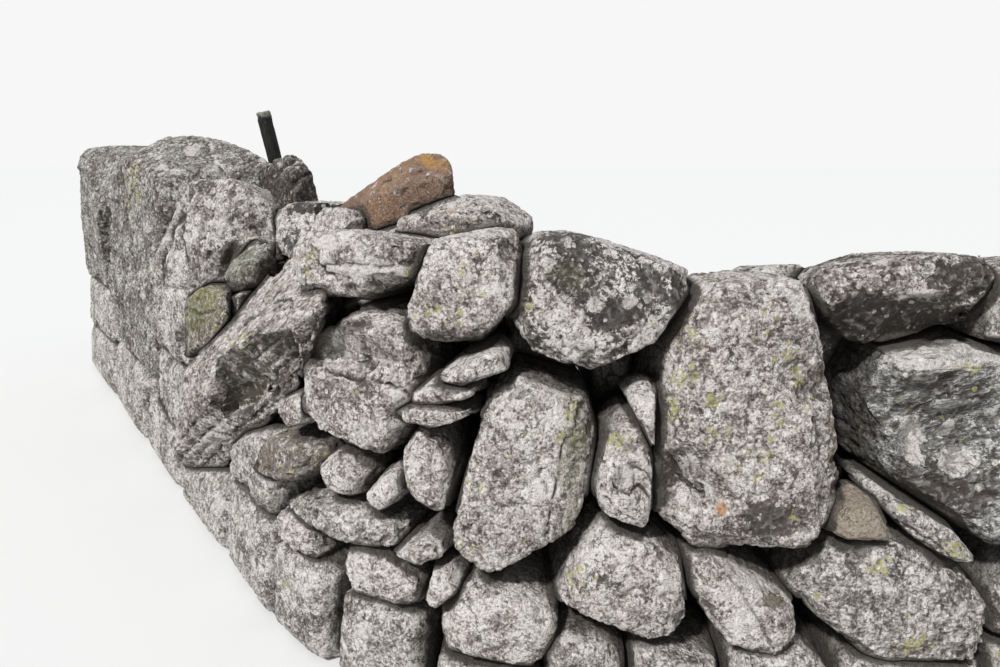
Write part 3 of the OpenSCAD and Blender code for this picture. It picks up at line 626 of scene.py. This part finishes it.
def chip(co, start, nrm, sharp, rng, flakes, size, area, share):
    """Shears flakes off a stone's edges: what stands above a tilted plane there is pressed down to it."""
    radius, depth, tilt, always, by_area = flakes
    radius, depth = radius * size, depth * size
    odds = np.clip(sharp, 0, SHARPEST)
    if odds.sum() == 0:
        return
    picks = rng.choice(len(co), size=int((always + by_area * area) * share), p=odds / odds.sum())
    for i in picks:
        # flakes differ, from 0.5 to 1.3 of the radius and from 0.3 to 1.3 of the depth
        reach = radius * (0.5 + 0.8 * rng.random())
        n = nrm[i] + tilt * rng.normal(size=3)
        n /= np.linalg.norm(n)
        d = co - start[i]
        far = np.sqrt((d * d).sum(1))
        near = np.nonzero(far < reach)[0]
        above = d[near] @ n + depth * (0.3 + rng.random())
        fade = 1 - smooth_step(0.7, 1.0, far[near] / reach)
        co[near] -= np.outer(np.clip(above, 0, 2 * depth) * fade, n)


def wear(co, seed, rough, bed):
    """How far each point is worn back, in metres. bed is the direction across the stone's layers."""
    p = co + 13.7 * seed
    wave, depth = SWELL
    worn = depth * rough * (0.5 + 0.5 * rough_noise(p, wave, 2, seed))
    wave, depth = HOLLOWS
    worn = worn + depth * rough * np.abs(rough_noise(p, wave, 3, seed + 3))
    wave, depth = GROOVES
    off = np.abs(rough_noise(p, wave, 3, seed + 7, 0.65)) / GROOVE_WIDTH
    worn = worn + depth * rough * (1 - np.clip(off, 0, 1)) ** 2
    wave, depth = PITS
    worn = worn + depth * rough * np.abs(rough_noise(p, wave, 2, seed + 5, 0.7))
    wave, depth = FISSURES
    worn = worn + depth * rough * fissures(p, wave, 4, seed + 11) ** 2
    if bed is not None:
        wave, depth = LAYERS
        across = p @ np.array(bed) / wave + 0.35 * rough_noise(p, 0.30, 3, seed + 23)
        layer = np.floor(across)
        deep = scatter(np.stack([layer, layer * 0, layer * 0], 1).astype(np.int64), seed + 29)
        step = 1 - smooth_step(0.0, 0.5, across - layer)
        worn = worn + depth * rough * deep * step * (0.6 + 0.6 * rough_noise(p, 0.15, 2, seed + 37))
    return np.clip(worn, 0, DEEPEST)


def stretched(co, axis, waves):
    """Places for noise that runs along an axis."""
    along = np.outer(co @ axis, axis)
    return (co - along) * waves[0] + along * waves[1]


def grain_of(co, axis, seed):
    """How far the stake is worn back: grooves along its grain, cracks and a worn top."""
    p = stretched(co, axis, GRAIN_WAVES) + seed
    worn = GRAIN_DEPTH * (1 - np.abs(value_noise(p, seed))) ** 2
    worn = worn + FINE_DEPTH * (0.5 + 0.5 * value_noise(p * FINER, seed + 1))
    split = np.abs(value_noise(stretched(co, axis, SPLIT_WAVES), seed + 2))
    worn = worn + SPLIT_DEPTH * np.clip(1 - split / SPLIT_WIDTH, 0, 1)
    along = co @ axis
    wave, depth = TOP_WEAR
    top = smooth_step(along.max() - TOP_BAND, along.max(), along)
    return worn + top * depth * (0.5 + rough_noise(co, wave, 3, seed + 3))


def remeshed(name, corners, triangles, voxel):
    """A new object whose mesh is the solid, rebuilt on a fine grid."""
    raw = bpy.data.meshes.new("raw")
    raw.from_pydata(corners.tolist(), [], triangles.tolist())
    obj = link(name, raw)
    remesh = obj.modifiers.new("grid", "REMESH")
    remesh.mode = "VOXEL"
    remesh.voxel_size = voxel
    graph = bpy.context.evaluated_depsgraph_get()
    mesh = bpy.data.meshes.new_from_object(obj.evaluated_get(graph))
    obj.modifiers.clear()
    obj.data = mesh
    mesh.name = obj.name
    bpy.data.meshes.remove(raw)
    return obj


def sky_seen(co, nrm, shown, everything):
    """How much of the sky each shown point sees, from 0 to 1."""
    sky = np.zeros(len(co))
    start = (co + nrm * SKY_START)[shown]
    for ux, uy, uz in SKY:
        aim = nrm[shown] + 0.95 * np.array((ux, uy, uz))
        aim /= np.linalg.norm(aim, axis=1)[:, None]
        sky[shown] += clear(everything, start, aim, SKY_REACH) / len(SKY)
    return sky


def area_of(corners, triangles):
    """A solid's surface, in square metres."""
    a, b, c = corners[triangles[:, 0]], corners[triangles[:, 1]], corners[triangles[:, 2]]
    return np.linalg.norm(np.cross(b - a, c - a), axis=1).sum() / 2


def chip_edges(co, nrm, net, lip, voxel, area, bulk, share, rng):
    """Takes flakes off a stone where it stands out above its mean shape. co is changed."""
    passes = int((EDGE_REACH / voxel) ** 2)
    sharp = ((co - net.spread(co, passes)) * nrm).sum(1)
    sharp = np.clip(sharp - BLUNT, 0, None) * (lip > 0.5)
    wide = net.spread(nrm, passes // 2)
    wide /= np.linalg.norm(wide, axis=1)[:, None] + 1e-9
    size = min(1.0, bulk / FULL_FLAKES)
    start = co.copy()
    for flakes in (LARGE_FLAKES, SMALL_FLAKES):
        chip(co, start, wide, sharp, rng, flakes, size, area, share)


def thin_out(obj, hidden):
    """Leaves fewer triangles, and fewest where no one sees the stone."""
    mesh = obj.data
    if len(hidden) > FEWEST_THINNED:
        group = obj.vertex_groups.new(name="hidden")
        group.add(hidden.tolist(), 1.0, "REPLACE")
        thin = obj.modifiers.new("thin", "DECIMATE")
        thin.vertex_group = "hidden"
        thin.ratio = 1 - THINNED_SHARE * len(hidden) / len(mesh.vertices)
    obj.modifiers.new("lighten", "DECIMATE").ratio = KEPT_SHARE
    mesh.polygons.foreach_set("use_smooth", np.ones(len(mesh.polygons), bool))


def dress(name, index, corners, triangles, others, everything, kind, bed):
    """One stone's final mesh, from its CAD solid."""
    # the seed comes from the name's letters, so each stone keeps its own
    seed = sum(ord(c) * (k + 3) for k, c in enumerate(name)) % 997 + 31 * index
    rng = np.random.default_rng(seed)
    voxel = kind["voxel"] * MM
    obj = remeshed(f"{name}_{index + 1}_face", corners, triangles, voxel)
    mesh = obj.data
    net = Net(mesh)
    co = net.spread(corners_of(mesh), kind["edge"])
    set_corners(mesh, co)
    nrm = normals_of(mesh)

    # where a neighbour lies against the stone, it keeps its CAD face
    open_air = clear(others, co - nrm * CONTACT_START, nrm, CONTACT)
    lip = net.spread(open_air, max(2, int((LIP / voxel) ** 2)))
    deep = net.spread(open_air, int((BURIED / voxel) ** 2))
    sky = net.spread(sky_seen(co, nrm, np.nonzero(lip > 0.25)[0], everything), 3)

    # small stones are worn less: bulk is the middle one of a stone's three extents
    bulk = float(np.sort(corners.max(0) - corners.min(0))[1])
    rough = kind["rough"] * min(1.0, 0.35 + bulk)
    before = co.copy()
    if name == "stake":
        axis = np.linalg.svd(corners - corners.mean(0))[2][0]
        axis *= np.sign(axis[2])
        co = co - nrm * grain_of(co, axis, 5)[:, None]
    else:
        chip_edges(co, nrm, net, lip, voxel, area_of(corners, triangles), bulk, kind["chips"], rng)
        set_corners(mesh, co)
        nrm = normals_of(mesh)
        cut, layers = read_marks(name, before, nrm)
        rim = JOINT_WEAR * smooth_step(0.10, 0.45, lip) * (1 - smooth_step(0.55, 1.0, lip))
        co = co - nrm * (wear(co, seed, rough, bed) + cut + rim)[:, None]
        for layer, values in layers.items():
            store(mesh, layer, values)
    keep = lip * smooth_step(0.0, GROUND_BAND, before[:, 2])
    co = before + (co - before) * keep[:, None]
    set_corners(mesh, co)

    # for the materials: relief is -1 in a hollow and 1 on an edge, and offset sets the patterns apart
    high = ((co - net.spread(co, 6)) * normals_of(mesh)).sum(1)
    store(mesh, "relief", np.clip(high / (0.30 * voxel), -1, 1))
    # lip and sky, with relief, tell the materials where to paint shade: by joints, where little sky is seen
    # and in hollows
    store(mesh, "lip", lip)
    store(mesh, "sky", sky)
    store(mesh, "offset", np.tile(rng.random(3) * 40, (net.count, 1)))
    thin_out(obj, np.nonzero(deep < 0.05)[0])
    return obj


# The direction across a stone's layers, for the stones that are plainly layered
BEDS = {
    "leaning_slab": (-0.62, 0.05, 0.78),
    "right_block": (-0.35, 0.10, 0.93),
    "wedged_slabs": (0.10, 0.00, 1.00),
    "far_middle_boulder": (-0.80, 0.45, 0.40),
    "thin_diagonal_stone": (0.55, 0.00, 0.83),
    "shoulder_near": (-0.55, 0.10, 0.83),
    "dark_cluster": (0.70, 0.10, 0.70),
}


def build_stones():
    """Every stone's mesh, and the stake's, with its node and its look."""
    parts = []
    for name in sorted(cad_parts):
        for index, (corners, triangles) in enumerate(solids(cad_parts[name])):
            parts.append((name, index, corners, triangles))
    first = np.cumsum([0] + [len(p[2]) for p in parts])
    all_corners = np.concatenate([p[2] for p in parts]).tolist()
    tris = [p[3] + first[k] for k, p in enumerate(parts)]
    everything = BVHTree.FromPolygons(all_corners, np.concatenate(tris).tolist())
    made = []
    for k, (name, index, corners, triangles) in enumerate(parts):
        rest = np.concatenate([t for j, t in enumerate(tris) if j != k]).tolist()
        others = BVHTree.FromPolygons(all_corners, rest)
        kind, look = STONES[name]
        obj = dress(name, index, corners, triangles, others, everything, KINDS[kind], BEDS.get(name))
        made.append((obj, name, look))
    return made


# Materials
def add(tree, kind, inputs=(), **settings):
    """A shader node, with its inputs linked or set."""
    node = tree.nodes.new(kind)
    for key, value in settings.items():
        setattr(node, key, value)
    for key, value in dict(inputs).items():
        socket = node.inputs[key]
        if isinstance(value, bpy.types.NodeSocket):
            tree.links.new(value, socket)
        elif socket.type == "RGBA":
            socket.default_value = (*value, 1.0)
        else:
            socket.default_value = value
    return node


class Shade:
    """A material in the making, with short names for its nodes. Each coat covers some of what is there."""

    def __init__(self, name, gloss, colour):
        self.material = bpy.data.materials.new(name)
        self.material.use_nodes = True
        self.tree = self.material.node_tree
        self.bsdf = self.tree.nodes["Principled BSDF"]
        self.bsdf.inputs["Specular IOR Level"].default_value = gloss
        self.colour = colour

    def node(self, kind, inputs=(), **settings):
        return add(self.tree, kind, inputs, **settings)

    def math(self, op, a, b=0.0):
        return self.node("ShaderNodeMath", {0: a, 1: b}, operation=op).outputs[0]

    def plus(self, a, b):
        return self.math("ADD", a, b)

    def minus(self, a, b):
        return self.math("SUBTRACT", a, b)

    def times(self, a, b):
        return self.math("MULTIPLY", a, b)

    def vector(self, op, a, b):
        return self.node("ShaderNodeVectorMath", {0: a, 1: b}, operation=op).outputs[0]

    def attribute(self, name, output="Fac"):
        return self.node("ShaderNodeAttribute", attribute_name=name).outputs[output]

    def noise(self, at, scale, detail=4.0, rough=0.55, output=0):
        inputs = {"Vector": at, "Scale": scale, "Detail": detail, "Roughness": rough}
        return self.node("ShaderNodeTexNoise", inputs).outputs[output]

    def warped(self, at, by, scale, detail, reach):
        """Places moved about by noise, by up to half of reach."""
        off = self.vector("SUBTRACT", self.noise(by, scale, detail, 0.6, 1), (0.5, 0.5, 0.5))
        off = self.node("ShaderNodeVectorMath", {0: off, "Scale": reach}, operation="SCALE").outputs[0]
        return self.vector("ADD", at, off)

    def cells(self, at, scale):
        """How far each point is from the middle of its cell, and the cell's own random numbers."""
        out = self.node("ShaderNodeTexVoronoi", {"Vector": at, "Scale": scale}).outputs
        return out["Distance"], self.node("ShaderNodeSeparateColor", {0: out["Color"]}).outputs

    def step(self, v, low, high):
        """0 at low and 1 at high, which may be the lower of the two."""
        return self.node("ShaderNodeMapRange", {"Value": v, "From Min": low, "From Max": high},
                         interpolation_type="SMOOTHSTEP").outputs[0]

    def ramp(self, value, stops):
        """A colour for each value, from stop to stop."""
        node = self.node("ShaderNodeValToRGB", {0: value})
        marks = node.color_ramp.elements
        for place, colour in stops[1:-1]:
            marks.new(place).color = (*colour, 1.0)
        for mark, (place, colour) in ((marks[0], stops[0]), (marks[-1], stops[-1])):
            mark.position = place
            mark.color = (*colour, 1.0)
        return node.outputs[0]

    def mix(self, share, a, b):
        node = self.node("ShaderNodeMix", data_type="RGBA", clamp_result=True)
        for index, value in ((0, share), (6, a), (7, b)):
            if isinstance(value, bpy.types.NodeSocket):
                self.tree.links.new(value, node.inputs[index])
            elif index:
                node.inputs[index].default_value = (*value, 1.0)
            else:
                node.inputs[index].default_value = value
        return node.outputs[2]

    def coat(self, share, tone, amount=None):
        """Covers a share of the colour so far with another tone, at full strength or only some."""
        self.colour = self.mix(share if amount is None else self.times(share, amount), self.colour, tone)

    def finish(self, rough, strength, distance, height):
        """Links the colour, the roughness and the bump, and gives the material."""
        self.tree.links.new(self.colour, self.bsdf.inputs["Base Color"])
        self.tree.links.new(rough, self.bsdf.inputs["Roughness"])
        bump = self.node("ShaderNodeBump", {"Strength": strength, "Distance": distance, "Height": height})
        self.tree.links.new(bump.outputs[0], self.bsdf.inputs["Normal"])
        return self.material


def along_layers(s, at, angle):
    """Places for streaks that run along a stone's layers."""
    if not angle:
        return at
    turn = {"Vector": at, "Axis": (0.0, 1.0, 0.0), "Angle": angle}
    turned = s.node("ShaderNodeVectorRotate", turn, rotation_type="AXIS_ANGLE").outputs[0]
    return s.vector("MULTIPLY", turned, (0.45, 0.7, 1.6))


def crust(s, look, wide, bent, streak, up):
    """Lichen in patches of 110, 25 and 8 mm, and round scales of 8 to 15 mm. Gives where the scales are."""
    off, tone = s.cells(streak, 92)
    scales = s.times(tone[0], s.step(off, 0.66, 0.30))
    small = s.cells(streak, 205)[1][0]
    field = s.plus(s.times(scales, 0.20), s.times(small, 0.16))
    for scale, at, detail, gain in ((9, wide, 5, 1.60), (45, streak, 5, 1.45), (135, streak, 4, 1.65)):
        field = s.plus(field, s.times(s.minus(s.noise(at, scale, detail, 0.68), 0.5), gain))
    field = s.plus(field, s.times(up, 0.05))
    field = s.plus(field, look["shift"] + 0.34)
    # the dark marks darken the crust; some are dark crust and some are painted shade
    field = s.minus(field, s.times(s.attribute("dark"), 0.26))
    tones = ((0.08, look["speck"]), (0.24, look["dark"]), (0.38, look["crust_3"]),
             (0.52, look["crust_2"]), (0.65, look["crust"]), (0.82, look["white"]))
    cover = s.plus(s.noise(bent, 32, 5, 0.65), look["cover"])
    cover = s.minus(cover, s.times(s.attribute("bare"), 0.55))
    s.coat(s.step(cover, 0.46, 0.56), s.ramp(field, tones))
    return scales


def rosettes(s, look, wide, bent):
    """White patches, and rosettes of 10 to 50 mm. Gives where they are."""
    patches = s.plus(s.attribute("white"), s.times(s.noise(bent, 60, 4, 0.75), 0.9))
    white = s.step(patches, 0.92, 1.02)
    for scale, at, chosen in ((19.0, wide, look["rosettes"]), (50.0, bent, look["rosettes"] * 1.15)):
        off, tone = s.cells(at, scale)
        radius = s.times(s.minus(tone[0], 1 - chosen), 0.45 / chosen)
        white = s.math("MAXIMUM", white, s.step(s.minus(radius, off), -0.01, 0.05))
    tone = s.mix(s.step(s.noise(bent, 170, 3, 0.7), 0.36, 0.56), look["white_2"], look["white"])
    s.coat(white, tone, 0.85)
    return white


def dark_crust(s, look, wide, bent, white):
    """Blotches of dark crust, through which the rosettes show. Dark marks add to them, some as painted
    shade.
    """
    field = s.plus(s.times(s.noise(wide, 8, 4, 0.65), 0.60), s.times(s.noise(bent, 75, 5, 0.72), 0.55))
    field = s.plus(field, s.times(s.attribute("dark"), 0.16))
    blotch = s.step(field, look["dark_at"], look["dark_at"] + 0.03)
    s.coat(blotch, look["blotch"], s.minus(0.90, s.times(white, 0.65)))


def cracks(s, look, place, wide):
    """Hairline cracks that wander and break off, and the drawn ones."""
    wander = s.math("ABSOLUTE", s.minus(s.noise(wide, 5.5, 5, 0.62), 0.5))
    hair = s.times(s.step(wander, 0.011, 0.003), s.step(s.noise(place, 9, 3), 0.46, 0.56))
    hair = s.math("MAXIMUM", s.times(hair, 0.9), s.step(s.attribute("groove"), 0.25, 0.8))
    s.coat(hair, look["speck"], 0.85)


def specks(s, look, wide, bent):
    """Black specks, 3 to 8 mm, in swarms."""
    speck = s.step(s.noise(bent, 230, 2, 0.6), 0.585, 0.635)
    swarm = s.plus(s.times(s.step(s.noise(wide, 12, 4), 0.40, 0.60), 0.7), 0.3)
    s.coat(s.times(speck, swarm), look["speck"], look["specks"])


def coloured_lichen(s, look, wide, bent):
    """Grey-green bloom, yellow-green spots in clusters, and orange where a mark says so."""
    bloom = s.times(s.attribute("green"), s.step(s.noise(bent, 55, 4, 0.65), 0.30, 0.60))
    s.coat(bloom, look["green"], 0.75)
    off, tone = s.cells(bent, 56)
    share = s.plus(s.times(s.attribute("yellow"), 0.80), look["yellow_share"] - 1)
    cluster = s.step(s.noise(wide, 6, 3), 0.50, 0.66)
    share = s.plus(share, s.times(cluster, look["yellow_share"] + 0.10))
    radius = s.times(s.step(s.plus(tone[1], share), 0.0, 0.30), 0.66)
    ragged = s.plus(off, s.times(s.noise(bent, 120, 4, 0.75), 0.95))
    spot = s.step(s.minus(radius, ragged), -0.48, -0.34)
    broken = s.step(s.noise(bent, 190, 4, 0.75), 0.42, 0.54)
    s.coat(spot, look["yellow"], s.plus(s.times(broken, 0.62), 0.32))
    orange = s.plus(s.attribute("orange"), s.times(s.noise(bent, 75, 5, 0.7), 0.9))
    s.coat(s.step(orange, 0.90, 1.40), look["orange"], 0.80)


def rock(name, look):
    """Weathered stone under crusts of lichen. Sizes are real: a scale of 100 has spots about 10 mm apart."""
    s = Shade(name, 0.25, look["stone"])
    place = s.node("ShaderNodeTexCoord").outputs["Object"]
    place = s.vector("ADD", place, s.attribute("offset", "Vector"))
    bent = s.warped(place, place, 38, 3, 0.014)
    wide = s.warped(bent, place, 7, 2, 0.09)
    streak = along_layers(s, bent, look["bed"])
    facing = s.node("ShaderNodeNewGeometry").outputs["Normal"]
    up = s.node("ShaderNodeSeparateXYZ", {0: facing}).outputs[2]

    # the bare stone: two tones, crystals of 3 to 8 mm
    s.coat(s.step(s.noise(wide, 5, 4), 0.35, 0.65), look["stone_2"])
    grain = s.noise(streak, 210, 3, 0.75)
    s.coat(s.step(grain, 0.52, 0.64), look["dark_grain"])
    s.coat(s.step(grain, 0.46, 0.36), look["light_grain"])

    scales = crust(s, look, wide, bent, streak, up)
    white = rosettes(s, look, wide, bent)
    dark_crust(s, look, wide, bent, white)
    cracks(s, look, place, wide)
    specks(s, look, wide, bent)
    coloured_lichen(s, look, wide, bent)

    # painted shade in hollows; worn edges; painted shade under overhangs, where little sky is seen and by
    # joints
    relief = s.attribute("relief")
    s.coat(s.step(relief, -0.10, -1.0), look["painted_shade"], 0.55)
    s.coat(s.step(relief, 0.25, 1.0), look["white"], 0.18)
    s.coat(s.step(up, -0.25, -0.9), look["painted_shade"], 0.5)
    s.coat(s.step(s.attribute("sky"), 0.36, 0.06), look["painted_shade"], 0.80)
    s.coat(s.step(s.attribute("lip"), 0.80, 0.30), look["painted_shade"], 0.80)

    rough = s.plus(s.times(s.noise(bent, 40, 3), 0.15), 0.80)
    height = s.plus(s.times(grain, 0.7), s.times(s.noise(bent, 60, 4, 0.72), 2.3))
    return s.finish(rough, 1.0, 0.007, s.plus(height, s.times(scales, 0.40)))


def timber(name):
    """Grey, weathered wood with cracks along the grain, darkened in its hollows by painted shade, and pale
    lichen at its top.
    """
    s = Shade(name, 0.3, (0.008, 0.008, 0.008))
    at = s.node("ShaderNodeTexCoord").outputs["Object"]
    grain = s.noise(s.vector("MULTIPLY", at, (1.0, 1.0, 0.07)), 190, 4, 0.65)
    s.coat(s.step(grain, 0.38, 0.62), (0.028, 0.029, 0.026))
    s.coat(s.step(s.noise(at, 22, 5, 0.65), 0.50, 0.62), (0.030, 0.028, 0.025), 0.6)
    above = s.node("ShaderNodeSeparateXYZ", {0: at}).outputs[2]
    top = s.plus(s.step(above, 1.52, 1.66), s.times(s.noise(at, 70, 5, 0.7), 0.9))
    pale = s.step(top, 1.02, 1.14)
    s.coat(pale, (0.27, 0.28, 0.22), 0.85)
    s.coat(s.step(s.noise(at, 48, 5, 0.7), 0.64, 0.68), (0.17, 0.18, 0.14), 0.6)
    # painted shade in the hollows
    s.coat(s.step(s.attribute("relief"), -0.1, -0.9), (0.03, 0.026, 0.022), 0.7)
    return s.finish(s.plus(s.times(grain, 0.2), 0.72), 0.8, 0.004, s.plus(grain, pale))


# The colours of a usual stone, from bare stone to crusts and lichens, the tone of its painted shade, and how
# much of each shows
BASE = dict(
    stone=(0.27, 0.225, 0.175),
    stone_2=(0.19, 0.16, 0.13),
    dark_grain=(0.08, 0.07, 0.06),
    light_grain=(0.42, 0.37, 0.32),
    speck=(0.050, 0.044, 0.040),
    dark=(0.115, 0.096, 0.086),
    crust_3=(0.22, 0.19, 0.17),
    crust_2=(0.39, 0.35, 0.315),
    crust=(0.57, 0.52, 0.48),
    white=(0.78, 0.74, 0.70),
    white_2=(0.58, 0.54, 0.50),
    blotch=(0.085, 0.070, 0.063),
    yellow=(0.46, 0.44, 0.19),
    orange=(0.48, 0.23, 0.08),
    green=(0.17, 0.18, 0.075),
    # the tone of the painted shade in hollows, under overhangs and by joints
    painted_shade=(0.060, 0.052, 0.045),
    shift=0.0, cover=0.50, rosettes=0.32, dark_at=0.645, specks=0.8, yellow_share=0.07, bed=0.0,
)
# What each look changes in it
LOOKS = {
    "pale": dict(shift=0.19),
    "great": dict(shift=0.15, yellow_share=0.14),
    "grey": dict(shift=0.12, crust=(0.53, 0.50, 0.465), crust_2=(0.36, 0.34, 0.31)),
    "pink": dict(shift=0.19, crust_2=(0.34, 0.295, 0.27), crust_3=(0.21, 0.175, 0.16)),
    "crest": dict(shift=0.16, rosettes=0.38),
    "crust": dict(shift=0.29, dark_at=0.595, rosettes=0.42, blotch=(0.036, 0.030, 0.028)),
    "dusk": dict(shift=0.03, dark_at=0.590, rosettes=0.30, blotch=(0.050, 0.041, 0.036)),
    "black": dict(shift=-0.22, dark_at=0.56, rosettes=0.14, bed=0.8),
    "block": dict(shift=0.02, crust=(0.48, 0.485, 0.47), crust_2=(0.31, 0.315, 0.305),
                  crust_3=(0.17, 0.17, 0.165), dark_at=0.63, bed=0.35),
    "slab": dict(shift=0.09, dark_at=0.64, bed=0.75),
    "brown": dict(stone=(0.25, 0.205, 0.155), stone_2=(0.19, 0.155, 0.125), cover=0.02, rosettes=0.12,
                  shift=-0.02),
    "tan": dict(stone=(0.39, 0.325, 0.25), stone_2=(0.32, 0.265, 0.205), dark_grain=(0.17, 0.14, 0.12),
                cover=-0.12, rosettes=0.06, dark_at=0.78, specks=0.4),
    "red": dict(stone=(0.36, 0.225, 0.145), stone_2=(0.24, 0.155, 0.11), dark_grain=(0.13, 0.085, 0.065),
                light_grain=(0.42, 0.28, 0.19), orange=(0.50, 0.27, 0.08), cover=-0.10, rosettes=0.01,
                dark_at=0.74, specks=0.5),
    "moss": dict(shift=-0.05, yellow_share=0.30, yellow=(0.26, 0.26, 0.07), green=(0.12, 0.13, 0.04)),
    "green": dict(crust=(0.40, 0.42, 0.37), crust_2=(0.28, 0.295, 0.25), rosettes=0.20),
    "far": dict(shift=-0.04, blotch=(0.10, 0.095, 0.085), crust=(0.50, 0.49, 0.45),
                crust_2=(0.33, 0.325, 0.295), rosettes=0.34, yellow_share=0.08),
    "lump": dict(shift=0.09, rosettes=0.36, crust_2=(0.36, 0.34, 0.31)),
}

stones = build_stones()
materials = {key: rock(f"{key}_stone", {**BASE, **change}) for key, change in LOOKS.items()}
materials["wood"] = timber("weathered_wood")
for obj, name, look in stones:
    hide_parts(name)
    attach(obj, ROOT)
    obj.data.materials.append(materials[look])

# Floor, light, camera
floor_mesh = bpy.data.meshes.new("floor")
floor_corners = [(x * FLOOR_REACH, y * FLOOR_REACH, 0) for x, y in ((-1, -1), (1, -1), (1, 1), (-1, 1))]
floor_mesh.from_pydata(floor_corners, [], [(0, 1, 2, 3)])
floor = link("floor", floor_mesh)
floor_look = bpy.data.materials.new("floor")
floor_look.use_nodes = True
floor_shader = floor_look.node_tree.nodes["Principled BSDF"]
floor_shader.inputs["Base Color"].default_value = (*FLOOR_COLOUR, 1)
floor_shader.inputs["Roughness"].default_value = FLOOR_ROUGHNESS
floor_mesh.materials.append(floor_look)

sun = bpy.data.lights.new("sun", "SUN")
sun.energy = SUN_STRENGTH
sun.angle = SUN_SPREAD
link("sun", sun).rotation_euler = SUN_AIM.to_track_quat("-Z", "Y").to_euler()

world = bpy.data.worlds.new("studio")
world.use_nodes = True
bpy.context.scene.world = world
tree = world.node_tree
sky = tree.nodes["Background"]
sky.inputs["Color"].default_value = (*SKY_COLOUR, 1)
sky.inputs["Strength"].default_value = SKY_STRENGTH
backdrop = add(tree, "ShaderNodeBackground", {"Color": BACKDROP_COLOUR, "Strength": 1.0})
seen = add(tree, "ShaderNodeLightPath").outputs["Is Camera Ray"]
both = add(tree, "ShaderNodeMixShader", {0: seen, 1: sky.outputs[0], 2: backdrop.outputs[0]})
tree.links.new(both.outputs[0], tree.nodes["World Output"].inputs["Surface"])

lens = bpy.data.cameras.new("camera")
lens.lens = LENS
lens.sensor_width = SENSOR
camera = link("camera", lens)
camera.location = EYE
camera.rotation_euler = (math.pi / 2 - PITCH, 0, 0)
bpy.context.scene.camera = camera
bpy.context.scene.view_settings.view_transform = "Standard"
